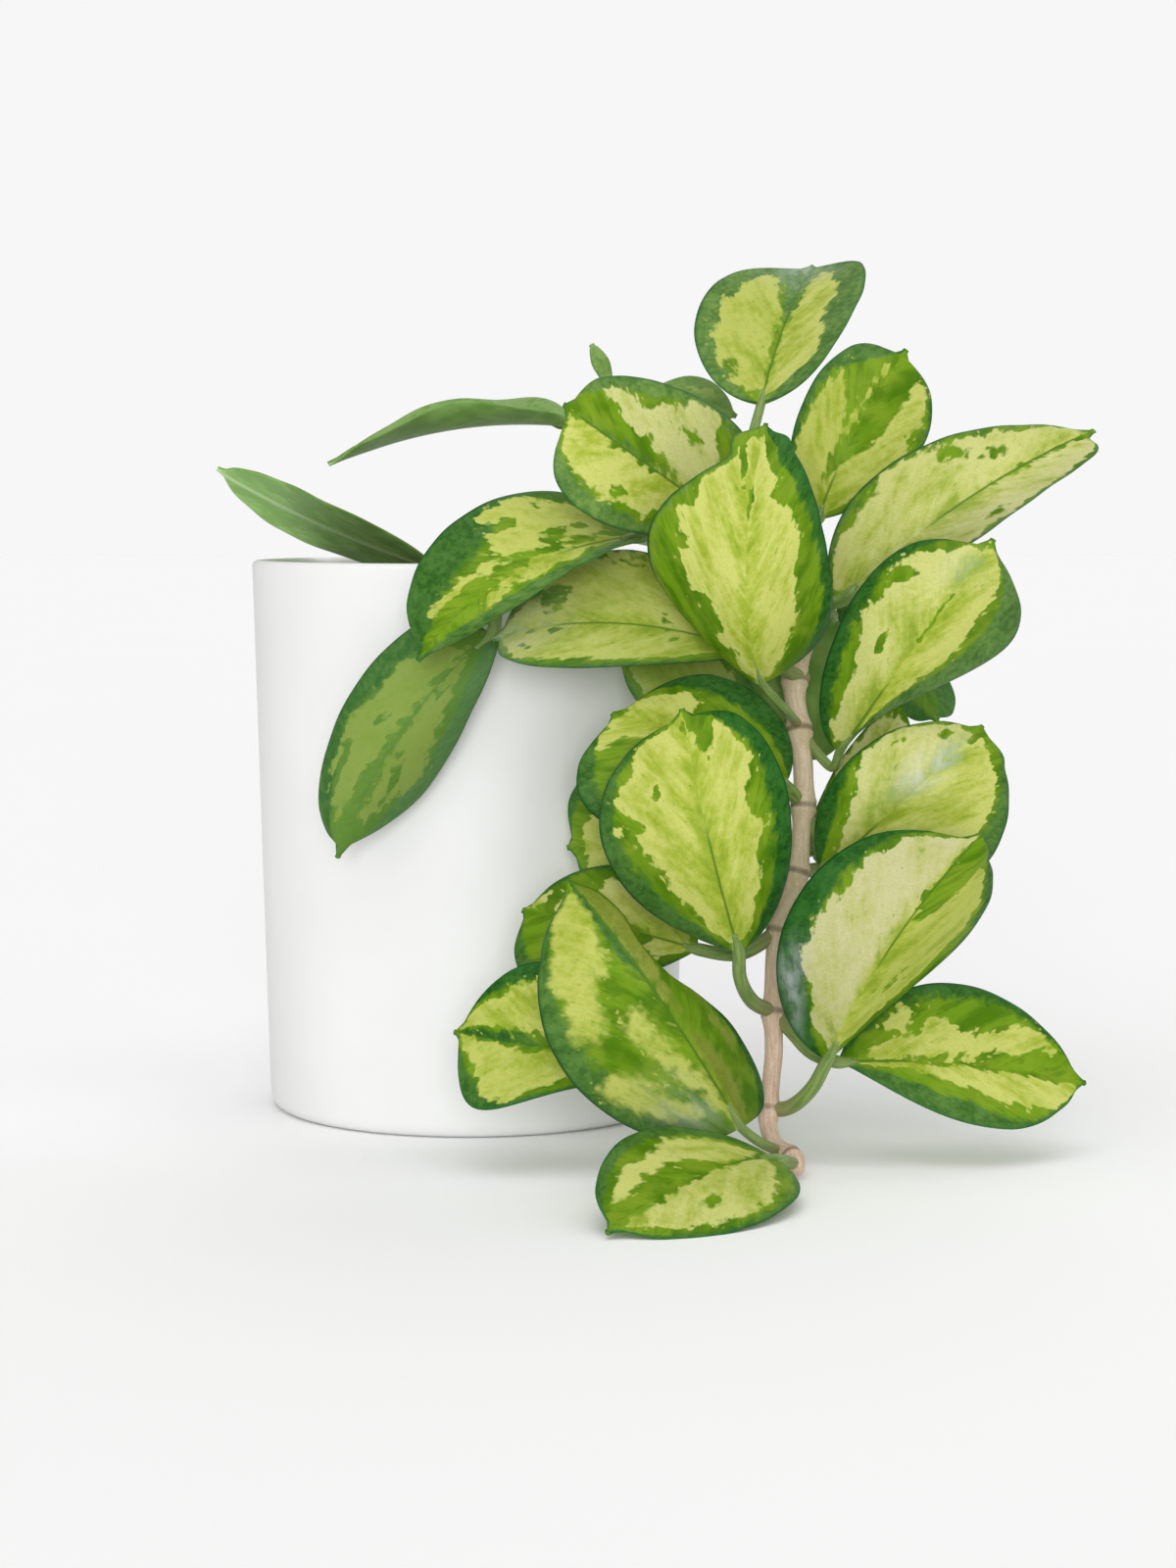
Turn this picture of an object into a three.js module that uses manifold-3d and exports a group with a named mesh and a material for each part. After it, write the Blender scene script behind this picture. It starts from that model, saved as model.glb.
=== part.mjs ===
// Potted hoya: a white ceramic pot of soil and a trailing vine with thick variegated leaves.
// Millimetres. The origin is the centre of the pot's base, +Z is up, +X is to the right
// and +Y is away from the viewer.
import * as THREE from "three";
import { LoftGeometry } from "three/addons/geometries/LoftGeometry.js";
import { mergeVertices } from "three/addons/utils/BufferGeometryUtils.js";
import Module from "manifold-3d";

const POT_HEIGHT = 150;
const RIM_RADIUS = 60;
const FOOT_RADIUS = 56;
const FOOT_ROUNDING = 4;
const WALL = 4;
const POT_FLOOR = 6;
const RIM_ROUNDING = 1.5;
const POT_SIDES = 64;

const GAP = 0.3; // clear space between neighbouring pieces
const SOIL_TOP = 136;
const SOIL_BUMP = 1.6;
const SOIL_SIDES = 40;
const SOIL_RINGS = [0.93, 0.76, 0.58, 0.4, 0.2];
const ROOT_DEPTH = 18; // how far a stem goes down into its hole in the soil

const BLADE_MIDDLE = 1.4; // thickness along the midrib
const BLADE_EDGE = 0.8; // thickness at the margin
const BLADE_END = 0.8; // half width at the base and at the tip
const TIP_START = 0.96; // share of the length where the rounded outline gives way to the point
const TIP_SLOPE = 3.4; // how wide that point is for its length
const WAIST_AT = 0.62; // share of the blade, from the base, where a drawn-in edge is narrowest
const WAIST_LENGTH = 0.2;
const BLADE_ROWS = [0, 0.035, 0.13, 0.28, 0.45, 0.63, 0.79, 0.9, 0.955, 1]; // shares of its length
const BLADE_COLUMNS = [-1, -0.7, -0.35, 0, 0.35, 0.7, 1];
const STALK_SIDES = 6;
const STALK_BASE = 2; // radius of a leaf stalk where it leaves the stem
const STALK_TOP = 1.6; // radius of a leaf stalk where it meets the blade
const STALK_STEPS = 5;

const STEM_SIDES = 8;
const NODE_SWELLING = 0.35; // how much thicker a stem is at a node
const NODE_REACH = 3.2; // how far along the stem a swelling goes

const CERAMIC = 0xf2f1ee;
const EARTH = 0x3c2c20;
const BARK = 0xa5967d;
const GREEN = 0x6f8f3a;
const CREAM = 0xc6cf86;

// Stems: the points they pass through, the points that are leaf nodes, and the radius from
// the soil to the tip.
const STEMS = {
  main_vine: {
    through: [[20, -5, 136], [38, -24, 160], [57, -38, 166], [74, -36, 174], [87.2, -42, 161],
      [90.6, -48, 141], [85.4, -50, 120], [86.2, -56, 107], [87, -60, 97.5], [87, -62, 88],
      [85, -68, 71.5], [80, -73, 57], [78.5, -80, 37.5], [78.5, -83, 27.5], [77, -87, 14],
      [77, -90, 9.5], [78.5, -96, 6.4], [82, -102, 4.6], [83, -108, 2.6]],
    nodes: [[57, -38, 166], [74, -36, 174], [87.2, -42, 161], [90.6, -48, 141], [85.4, -50, 120],
      [86.2, -56, 107], [87, -62, 88], [85, -68, 71.5], [80, -73, 57], [78.5, -80, 37.5],
      [77, -87, 14], [82, -102, 4.6]],
    radius: [3.4, 2.1],
    steps: 64,
  },
  short_stem: {
    through: [[5, -25, 136], [7, -47, 155], [6, -64, 158], [4, -71, 150]],
    nodes: [[4, -71, 150]],
    radius: [2.4, 1.9],
    steps: 14,
  },
  upright_stem: {
    through: [[15, 17, 136], [18, 14, 148], [26, 9, 167], [31, 3, 188], [38, 0, 199]],
    nodes: [[18, 14, 148], [31, 3, 188]],
    radius: [2.5, 1.2],
    steps: 20,
    youngLeaf: { base: [37.5, 0, 198], mid: [35.2, -1, 203], tip: [32.6, -1, 208.5],
      left: [33.2, -2, 202], right: [37.4, 0, 204.2], leftShape: [0.5, 0.5], rightShape: [0.5, 0.5] },
  },
};

// Leaves: the base, the middle of the midrib, the tip and the widest place of the left and
// right margins. Each side's shape is where it is widest, as a share of the length, and how
// blunt it is. The stalk goes from a place on the stem, through the listed places, to the base.
const LEAVES = [
  { name: "leaf_top", stem: "main_vine", stalk: [[73, -36, 174], [75.5, -27, 184]],
    base: [78, -18, 192], mid: [85.5, 8, 213.5], tip: [95, 36, 232],
    left: [63, 8, 221], right: [107, 10, 223], leftShape: [0.65, 0.25], rightShape: [0.6, 0.25] },
  { name: "leaf_upper_right", stem: "main_vine", stalk: [[87.2, -42, 161]],
    base: [92.5, -32, 161.5], mid: [102, -32, 184], tip: [116.5, -18, 206],
    left: [91, -22, 196.5], right: [121, -24, 180.5], leftShape: [0.6, 0.25], rightShape: [0.65, 0.45] },
  { name: "leaf_long_right", stem: "main_vine", stalk: [[90.6, -48, 141]],
    base: [96.5, -50, 140], mid: [128, -58, 166], tip: [163, -44, 184],
    left: [112, -44, 177], right: [136, -50, 159], leftShape: [0.5, 0.65], rightShape: [0.45, 0.25] },
  { name: "leaf_upper_left", stem: "main_vine", stalk: [[59, -38, 166.5], [64, -44, 162]],
    base: [68.5, -50, 160.5], mid: [46.5, -70, 175], tip: [25.5, -74, 190],
    left: [28.5, -80, 164.5], right: [65, -52, 189.5], leftShape: [0.75, 0.25], rightShape: [0.3, 0.4] },
  { name: "leaf_arching_left", stem: "main_vine", stalk: [[55, -37, 165.5], [52, -48, 160]],
    base: [45.5, -58, 157], mid: [14, -86, 148], tip: [-10.5, -84, 126.5],
    left: [21.5, -86, 145], right: [3.5, -72, 164.5], leftShape: [0.6, 0.65], rightShape: [0.45, 0.4] },
  { name: "leaf_front_centre", stem: "main_vine", stalk: [[86.5, -56, 108], [82, -66, 113]],
    base: [75.5, -74, 120.5], mid: [70.5, -92, 149.5], tip: [76.5, -70, 185],
    left: [46.5, -80, 154.5], right: [92.5, -80, 148], leftShape: [0.35, 1.1], rightShape: [0.3, 0.6] },
  { name: "leaf_right", stem: "main_vine", stalk: [[86.5, -56, 107], [91, -60, 101], [94.5, -63, 98]],
    base: [96, -66, 102.5], mid: [113.5, -82, 130.5], tip: [132.5, -82, 156.5],
    left: [101.5, -74, 146], right: [140.5, -68, 132], leftShape: [0.7, 0.25], rightShape: [0.7, 0.95] },
  { name: "leaf_right_middle", stem: "main_vine", stalk: [[87, -62, 88], [90, -65, 81]],
    base: [92, -72, 72.5], mid: [112, -82, 92.5], tip: [131.5, -70, 109],
    left: [99.5, -76, 103], right: [131, -66, 71], leftShape: [0.55, 0.55], rightShape: [0.3, 0.6] },
  { name: "leaf_right_lower", stem: "main_vine", stalk: [[77, -87, 14], [81.5, -89, 14.5], [87, -94, 20]],
    base: [91, -98, 28.5], mid: [106, -108, 59], tip: [128.5, -98, 84.5],
    left: [86, -102, 74], right: [129, -92, 63], leftShape: [0.65, 0.3], rightShape: [0.55, 1.0] },
  { name: "leaf_right_bottom", stem: "main_vine", stalk: [[78.5, -80, 37.5], [83, -83, 33], [88, -86, 28]],
    base: [94.5, -88, 26], mid: [125, -86, 25], tip: [158, -76, 18.5],
    left: [127, -72, 43.5], right: [134.5, -94, 10], leftShape: [0.55, 0.6], rightShape: [0.6, 0.8] },
  { name: "leaf_lower_left", stem: "main_vine", stalk: [[79.5, -98.5, 5.5], [74.5, -103.5, 8.5]],
    base: [69, -108, 13.5], mid: [47.5, -122, 49], tip: [27, -110, 74],
    left: [25.5, -116, 29], right: [67, -105, 38.5], leftShape: [0.5, 0.6], rightShape: [0.29, 0.56, 0.6] },
  { name: "leaf_front_round", stem: "main_vine", stalk: [[78.5, -80, 37.5], [73, -86, 41], [69.5, -92, 48]],
    base: [69, -94, 55], mid: [61, -102, 84.5], tip: [55, -90, 114.5],
    left: [34.5, -92, 83.5], right: [80.5, -92, 96], leftShape: [0.6, 0.55], rightShape: [0.55, 0.4] },
  { name: "leaf_behind_round", stem: "main_vine", stalk: [[87, -62, 88]],
    base: [81.5, -66, 94], mid: [60, -76, 106], tip: [38, -74, 112.5],
    left: [37.5, -80, 84.5], right: [67, -64, 121], leftShape: [0.45, 0.45], rightShape: [0.7, 0.25] },
  { name: "leaf_behind_left", stem: "main_vine", stalk: [[85, -68, 71.5]],
    base: [80.5, -68, 71.5], mid: [54.5, -66, 77.5], tip: [26.5, -60, 77],
    left: [51.5, -70, 56.5], right: [39.5, -56, 98], leftShape: [0.55, 0.5], rightShape: [0.6, 0.5] },
  { name: "leaf_left_middle", stem: "main_vine", stalk: [[80, -73, 57], [70, -78, 52]],
    base: [59, -80, 53.5], mid: [36.5, -88, 60.5], tip: [15.5, -82, 63.5],
    left: [20.5, -89, 45], right: [41.5, -78, 74.5], leftShape: [0.6, 0.55], rightShape: [0.55, 0.55] },
  { name: "leaf_left_bottom", stem: "main_vine", stalk: [[77, -87, 14], [65, -90, 15.5]],
    base: [53.5, -90, 19.5], mid: [22.5, -98, 31], tip: [-1.5, -88, 33.5],
    left: [4, -102, 16.5], right: [24.5, -92, 52], leftShape: [0.8, 0.5], rightShape: [0.6, 0.55] },
  { name: "leaf_on_surface", stem: "main_vine", stalk: [[82.5, -105, 3.6], [80, -113, 6]],
    base: [76, -120, 8], mid: [57, -147, 9], tip: [36, -172, 1.6],
    left: [73, -158, 1.6], right: [42, -136, 17], leftShape: [0.55, 0.5], rightShape: [0.55, 0.5] },
  { name: "leaf_hanging_left", stem: "short_stem", stalk: [[4, -71, 150], [8, -71, 141]],
    base: [7, -66, 131.5], mid: [-15, -74, 108.5], tip: [-32.5, -64, 75],
    left: [-2.5, -68, 103], right: [-26.5, -68, 120.5], leftShape: [0.75, 0.25], rightShape: [0.5, 0.25] },
  { name: "leaf_pale_left", stem: "main_vine", stalk: [[88, -50, 120], [82, -55, 123]],
    base: [76, -58, 126.5], mid: [40.5, -72, 135], tip: [8, -78, 131.5],
    left: [25, -82, 124.5], right: [39.5, -54, 153.5], leftShape: [0.6, 0.6], rightShape: [0.55, 0.5] },
  { name: "leaf_far_left", green: true, stem: "upright_stem", stalk: [[31, 3, 188], [29, -3, 188]],
    base: [26.5, -6, 187], mid: [-7, 0, 186], tip: [-39, -4, 176],
    left: [-6, -20, 190.5], right: [-2.5, 20, 194.5], leftShape: [0.55, 0.5], rightShape: [0.55, 0.5] },
  { name: "leaf_over_rim", green: true, stem: "upright_stem", stalk: [[18, 14, 148], [4, 9, 150]],
    base: [-11.5, 8, 148], mid: [-43, 12, 160.5], tip: [-70.5, 8, 175],
    left: [-41, -10, 167], right: [-49, 32, 154.5], leftShape: [0.55, 0.5], rightShape: [0.55, 0.5] },
  { name: "leaf_back_top", stem: "upright_stem", stalk: [[31, 3, 188], [36, 7, 190]],
    base: [42.5, 8, 188], mid: [57.5, 14, 193], tip: [73, 18, 189.5],
    left: [60.5, 26, 201], right: [56, 0, 183.5], leftShape: [0.55, 0.5], rightShape: [0.55, 0.5] },
  { name: "leaf_behind_stem", stem: "main_vine", stalk: [[90.2, -48.5, 138.5]],
    base: [95.5, -42, 136], mid: [86, -42, 118], tip: [84.5, -44, 98.5],
    left: [63, -36, 120.5], right: [101, -38, 108.5], leftShape: [0.55, 0.5], rightShape: [0.55, 0.5] },
  { name: "leaf_behind_right", green: true, stem: "main_vine", stalk: [[90.7, -46.5, 145]],
    base: [99.5, -34, 143], mid: [115, -22, 126], tip: [126, -16, 106.5],
    left: [129, -12, 118.5], right: [106.5, -20, 119], leftShape: [0.6, 0.5], rightShape: [0.5, 0.5] },
  { name: "leaf_behind_pale", stem: "main_vine", stalk: [[86.5, -56, 107]],
    base: [75, -50, 108], mid: [57, -54, 118.5], tip: [39, -54, 126.5],
    left: [54.5, -56, 105.5], right: [61, -46, 133.5], leftShape: [0.55, 0.5], rightShape: [0.55, 0.5] },
  { name: "leaf_behind_low", stem: "main_vine", stalk: [[86, -64.5, 80]],
    base: [89, -57, 76], mid: [102, -48, 94], tip: [114.5, -44, 113.5],
    left: [98, -46, 99], right: [111, -44, 90], leftShape: [0.55, 0.5], rightShape: [0.55, 0.5] },
  { name: "leaf_back_high", stem: "main_vine", stalk: [[77.5, -37, 172]],
    base: [78, -27, 174], mid: [68, 4, 178], tip: [60, 36, 168],
    left: [49, 2, 177], right: [87, 6, 177], leftShape: [0.55, 0.5], rightShape: [0.55, 0.5] },
  { name: "leaf_back_middle", stem: "main_vine", stalk: [[85, -68, 71.5]],
    base: [94, -58, 72], mid: [112, -38, 74], tip: [122, -14, 62],
    left: [98, -27, 73], right: [126, -49, 73], leftShape: [0.55, 0.5], rightShape: [0.55, 0.5] },
  { name: "leaf_back_low", stem: "main_vine", stalk: [[80, -73, 57]],
    base: [91, -66, 52], mid: [104, -49, 44], tip: [106, -30, 34],
    left: [92, -41, 44], right: [117, -56, 44], leftShape: [0.55, 0.5], rightShape: [0.55, 0.5] },
  { name: "leaf_back_rim", stem: "upright_stem", stalk: [[18, 14, 148]],
    base: [23, 20, 151], mid: [38, 34, 158], tip: [56, 52, 152],
    left: [25, 48, 158], right: [51, 20, 158], leftShape: [0.55, 0.5], rightShape: [0.55, 0.5] },
];

const wasm = await Module();
wasm.setup();

// A closed geometry as a solid that can be joined and cut, and back again.
function solid(geometry) {
  const bare = new THREE.BufferGeometry();
  bare.setAttribute("position", geometry.getAttribute("position"));
  bare.setIndex(geometry.getIndex());
  const joined = mergeVertices(bare, 1e-4);
  const mesh = new wasm.Mesh({
    numProp: 3,
    vertProperties: new Float32Array(joined.attributes.position.array),
    triVerts: new Uint32Array(joined.index.array),
  });
  return new wasm.Manifold(mesh);
}

function geometryOf(body) {
  const mesh = body.getMesh();
  const geometry = new THREE.BufferGeometry();
  geometry.setAttribute("position", new THREE.BufferAttribute(mesh.vertProperties, 3));
  geometry.setIndex(new THREE.BufferAttribute(mesh.triVerts, 1));
  return geometry;
}

// The largest body of a solid, without the loose scraps that a cut can leave.
function largest(body) {
  const bodies = body.decompose();
  bodies.sort((a, b) => b.volume() - a.volume());
  return bodies[0];
}

// The same bumps every time.
function seeded(seed) {
  let state = seed;
  return () => {
    state = (state * 1664525 + 1013904223) % 4294967296;
    return state / 4294967296;
  };
}

function point(place) {
  return new THREE.Vector3(...place);
}

function smooth(low, high, value) {
  const t = Math.min(1, Math.max(0, (value - low) / (high - low)));
  return t * t * (3 - 2 * t);
}

// A round bar of changing radius along a curve.
function bar(curve, steps, sides, radiusAt, grow = 0) {
  const frames = curve.computeFrenetFrames(steps, false);
  const sections = [];
  for (let i = 0; i <= steps; i += 1) {
    const centre = curve.getPointAt(i / steps);
    if (i === 0) centre.addScaledVector(frames.tangents[i], -grow);
    if (i === steps) centre.addScaledVector(frames.tangents[i], grow);
    const radius = radiusAt(i / steps, centre) + grow;
    const ring = [];
    for (let k = 0; k < sides; k += 1) {
      const angle = (2 * Math.PI * k) / sides;
      const spot = centre.clone();
      spot.addScaledVector(frames.normals[i], radius * Math.cos(angle));
      spot.addScaledVector(frames.binormals[i], radius * Math.sin(angle));
      ring.push(spot);
    }
    sections.push(ring);
  }
  return new LoftGeometry(sections, { closed: true, capStart: true, capEnd: true });
}

function stemBar(stem, grow) {
  const points = stem.through.map(point);
  const foot = points[0].clone();
  foot.z -= ROOT_DEPTH;
  const curve = new THREE.CatmullRomCurve3([foot, ...points], false, "centripetal");
  const nodes = stem.nodes.map(point);
  const radiusAt = (share, centre) => {
    const plain = THREE.MathUtils.lerp(stem.radius[0], stem.radius[1], share);
    const nearest = Math.min(...nodes.map((node) => node.distanceTo(centre)));
    return plain * (1 + NODE_SWELLING * Math.exp(-((nearest / NODE_REACH) ** 2)));
  };
  return bar(curve, stem.steps, STEM_SIDES, radiusAt, grow);
}

// Half the width of a blade, as a share of its widest place. A waist draws the edge in beyond the
// middle by up to that share.
function halfWidth(s, widest, blunt, waist = 0) {
  const rise = (blunt * widest) / (1 - widest);
  const b = s / TIP_START;
  let body = 0;
  if (b > 0 && b < 1) body = (b / widest) ** rise * ((1 - b) / (1 - widest)) ** blunt;
  const tip = TIP_SLOPE * (1 - s) * smooth(0.8, 0.94, s);
  const drawnIn = waist * Math.exp(-(((s - WAIST_AT) / WAIST_LENGTH) ** 2));
  return Math.cbrt(body ** 3 + tip ** 3) * (1 - drawnIn);
}

function blade(leaf) {
  const base = point(leaf.base);
  const tip = point(leaf.tip);
  const bend = point(leaf.mid).multiplyScalar(2).addScaledVector(base, -0.5).addScaledVector(tip, -0.5);
  const rib = new THREE.QuadraticBezierCurve3(base, bend, tip);
  const left = point(leaf.left).sub(rib.getPoint(leaf.leftShape[0]));
  const right = point(leaf.right).sub(rib.getPoint(leaf.rightShape[0]));
  const columns = BLADE_COLUMNS.length;
  const upper = [];
  const lower = [];
  for (const s of BLADE_ROWS) {
    const centre = rib.getPoint(s);
    const along = rib.getTangent(s);
    const ends = BLADE_END / Math.max(left.length(), right.length());
    const leftWidth = Math.max(ends, halfWidth(s, ...leaf.leftShape));
    const rightWidth = Math.max(ends, halfWidth(s, ...leaf.rightShape));
    for (const q of BLADE_COLUMNS) {
      const a = left.clone().multiplyScalar(leftWidth);
      const b = right.clone().multiplyScalar(rightWidth);
      const out = b.clone().sub(a).multiplyScalar(0.5);
      const rise = b.clone().add(a).multiplyScalar(0.5);
      const bow = Math.abs(q) ** 1.5;
      const across = out.clone().addScaledVector(rise, 1.5 * Math.sqrt(Math.abs(q)) * Math.sign(q));
      const normal = across.cross(along).normalize();
      const half = THREE.MathUtils.lerp(BLADE_MIDDLE, BLADE_EDGE, Math.abs(q)) / 2;
      const middle = centre.clone().addScaledVector(out, q).addScaledVector(rise, bow);
      upper.push(middle.clone().addScaledVector(normal, half));
      lower.push(middle.clone().addScaledVector(normal, -half));
    }
  }
  const corners = [...upper, ...lower].flatMap((p) => [p.x, p.y, p.z]);
  const under = upper.length;
  const faces = [];
  const quad = (a, b, c, d) => faces.push(a, b, c, a, c, d);
  const rows = BLADE_ROWS.length - 1;
  for (let i = 0; i < rows; i += 1) {
    for (let k = 0; k < columns - 1; k += 1) {
      const a = i * columns + k;
      const b = a + 1;
      const c = a + columns + 1;
      const d = a + columns;
      faces.push(a, b, c, a, c, d);
      faces.push(under + a, under + c, under + b, under + a, under + d, under + c);
    }
    const first = i * columns;
    const last = first + columns - 1;
    quad(under + first, first, first + columns, under + first + columns);
    quad(last, under + last, under + last + columns, last + columns);
  }
  const end = rows * columns;
  for (let k = 0; k < columns - 1; k += 1) {
    quad(under + k, under + k + 1, k + 1, k);
    quad(end + k, end + k + 1, under + end + k + 1, under + end + k);
  }
  const geometry = new THREE.BufferGeometry();
  geometry.setAttribute("position", new THREE.Float32BufferAttribute(corners, 3));
  geometry.setIndex(faces);
  const made = solid(geometry);
  return { made, rib };
}

// A blade and its stalk in one solid, cut clear of the stem that it grows from.
function leafSolid(leaf, stemSolids) {
  const { made, rib } = blade(leaf);
  const places = [...leaf.stalk.map(point), rib.getPoint(0), rib.getPoint(0.08)];
  const curve = new THREE.CatmullRomCurve3(places, false, "centripetal");
  const radiusAt = (share) => {
    const sink = smooth(0.85, 1, share);
    return THREE.MathUtils.lerp(STALK_BASE, STALK_TOP, share) * (1 - 0.45 * sink);
  };
  const stalk = solid(bar(curve, STALK_STEPS, STALK_SIDES, radiusAt));
  return largest(made.add(stalk).subtract(stemSolids[leaf.stem]));
}

function potSolid() {
  const inside = RIM_RADIUS - WALL;
  const profile = [
    [0, 0], [FOOT_RADIUS - FOOT_ROUNDING, 0],
    [FOOT_RADIUS - FOOT_ROUNDING * 0.3, FOOT_ROUNDING * 0.3], [FOOT_RADIUS, FOOT_ROUNDING],
    [RIM_RADIUS, POT_HEIGHT - RIM_ROUNDING],
    [RIM_RADIUS - RIM_ROUNDING * 0.3, POT_HEIGHT - RIM_ROUNDING * 0.3],
    [RIM_RADIUS - RIM_ROUNDING, POT_HEIGHT], [inside + RIM_ROUNDING, POT_HEIGHT],
    [inside + RIM_ROUNDING * 0.3, POT_HEIGHT - RIM_ROUNDING * 0.3],
    [inside, POT_HEIGHT - RIM_ROUNDING],
    [insideRadius(POT_FLOOR + 5), POT_FLOOR + 5], [insideRadius(POT_FLOOR) - 4, POT_FLOOR],
    [0, POT_FLOOR],
  ].map(([radius, height]) => new THREE.Vector2(radius, height));
  const geometry = new THREE.LatheGeometry(profile, POT_SIDES);
  geometry.rotateX(Math.PI / 2);
  return solid(geometry);
}

function insideRadius(height) {
  return THREE.MathUtils.lerp(FOOT_RADIUS, RIM_RADIUS, height / POT_HEIGHT) - WALL;
}

function soilSolid(holes) {
  const random = seeded(7);
  const slack = insideRadius(0) * (1 - Math.cos(Math.PI / POT_SIDES)) + GAP;
  const rings = [
    [insideRadius(POT_FLOOR) - 5, POT_FLOOR + GAP, 0],
    [insideRadius(POT_FLOOR + 6) - slack, POT_FLOOR + 6, 0],
    [insideRadius(SOIL_TOP - 2) - slack, SOIL_TOP - 2, 0],
    ...SOIL_RINGS.map((share) => [share * insideRadius(SOIL_TOP), SOIL_TOP, SOIL_BUMP]),
  ];
  const corners = [0, 0, POT_FLOOR + GAP];
  for (const [radius, height, bump] of rings) {
    for (let k = 0; k < SOIL_SIDES; k += 1) {
      const angle = (2 * Math.PI * k) / SOIL_SIDES;
      const level = height + bump * (random() - 0.5);
      corners.push(radius * Math.cos(angle), radius * Math.sin(angle), level);
    }
  }
  const top = rings.length * SOIL_SIDES + 1;
  corners.push(0, 0, SOIL_TOP);
  const faces = [];
  for (let k = 0; k < SOIL_SIDES; k += 1) {
    const next = (k + 1) % SOIL_SIDES;
    faces.push(0, 1 + next, 1 + k);
    for (let i = 0; i < rings.length - 1; i += 1) {
      const a = 1 + i * SOIL_SIDES;
      faces.push(a + k, a + next, a + SOIL_SIDES + next);
      faces.push(a + k, a + SOIL_SIDES + next, a + SOIL_SIDES + k);
    }
    const last = 1 + (rings.length - 1) * SOIL_SIDES;
    faces.push(last + k, last + next, top);
  }
  const geometry = new THREE.BufferGeometry();
  geometry.setAttribute("position", new THREE.Float32BufferAttribute(corners, 3));
  geometry.setIndex(faces);
  return largest(holes.reduce((body, hole) => body.subtract(hole), solid(geometry)));
}

function piece(name, body, colour, roughness) {
  const material = new THREE.MeshStandardMaterial({ color: colour, roughness, metalness: 0 });
  const mesh = new THREE.Mesh(geometryOf(body), material);
  mesh.name = name;
  return mesh;
}

const plant = new THREE.Group();
plant.name = "potted_hoya";

const clearance = {};
for (const [name, stem] of Object.entries(STEMS)) {
  clearance[name] = solid(stemBar(stem, GAP));
  const bare = solid(stemBar(stem, 0));
  const whole = stem.youngLeaf ? bare.add(blade(stem.youngLeaf).made) : bare;
  plant.add(piece(name, whole, BARK, 0.8));
}
plant.add(piece("pot", potSolid(), CERAMIC, 0.4));
plant.add(piece("soil", soilSolid(Object.values(clearance)), EARTH, 0.95));
for (const leaf of LEAVES) {
  const colour = leaf.green ? GREEN : CREAM;
  plant.add(piece(leaf.name, leafSolid(leaf, clearance), colour, 0.35));
}

export default plant;
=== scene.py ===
"""The look of a potted hoya: thick variegated leaves, a woody vine, potting soil and a white pot.

Lengths are metres in the scene. Places are listed in millimetres and scaled by MM.
"""

import math

import bpy
import numpy as np
from mathutils import Matrix, Vector


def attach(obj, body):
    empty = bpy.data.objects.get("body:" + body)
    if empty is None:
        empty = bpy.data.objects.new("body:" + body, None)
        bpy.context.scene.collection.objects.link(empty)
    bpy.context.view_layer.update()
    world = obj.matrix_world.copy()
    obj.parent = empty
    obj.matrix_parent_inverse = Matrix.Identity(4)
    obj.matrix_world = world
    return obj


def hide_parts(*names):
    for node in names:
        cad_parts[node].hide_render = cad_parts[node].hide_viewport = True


MM = 0.001
FULL_TURN = 6.28  # radians: random phases and angles are drawn up to this

# ---------------------------------------------------------------- camera
LENS = 75.0  # mm, on a sensor 36 mm along its long side
SENSOR = 36.0
CAMERA_PLACE = (31.7, -897.0, 166.0)
CAMERA_TILT = 4.95  # degrees below level

# ---------------------------------------------------------------- light
SKY = 0.36
BACKDROP = 0.93  # what the lit floor shows far away
FLOOR_REACH = 9000.0
SUNS = {  # where each soft light stands as seen from the pot, its power and its spread in degrees
    "front": ((-0.02, -1.0, 0.16), 1.65, 30),
    "left_front": ((-0.5, -0.8, 0.85), 0.45, 60),
    "right_front": ((0.9, -0.45, 0.6), 0.25, 60),
    "top": ((0.0, -0.2, 1.0), 0.8, 60),
    "back": ((0.4, 1.0, 0.7), 0.7, 60),
}

# ---------------------------------------------------------------- pot and soil
POT_HEIGHT = 150.0
RIM_RADIUS = 60.0
FOOT_RADIUS = 56.0
FOOT_ROUNDING = 4.0
WALL = 4.0
POT_FLOOR = 6.0
RIM_ROUNDING = 1.5
POT_SIDES = 180
SOIL_TOP = 136.0
SOIL_GAP = 0.45
SOIL_RINGS = 64
SOIL_SIDES = 160
SOIL_ROLLOFF = 1.2  # how far the soil sinks at the pot's wall
# the soil's unevenness: radians per mm in x and in y, and height
SOIL_WAVES = ((0.11, 0.07, 0.5), (0.19, -0.23, 0.35), (0.41, 0.36, 0.2), (0.83, -0.7, 0.14),
              (1.7, 1.5, 0.08))
CRUMBS = 520
SMALL_CRUMB = (0.5, 1.3)
BIG_CRUMB = (1.3, 2.4)
BIG_CRUMBS = 0.2  # their share of all the crumbs
PERLITE = 0.13  # its share of the crumbs
BARK_CHIPS = 0.4  # their share of the crumbs that aren't perlite
ROOT_DEPTH = 18.0

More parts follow.
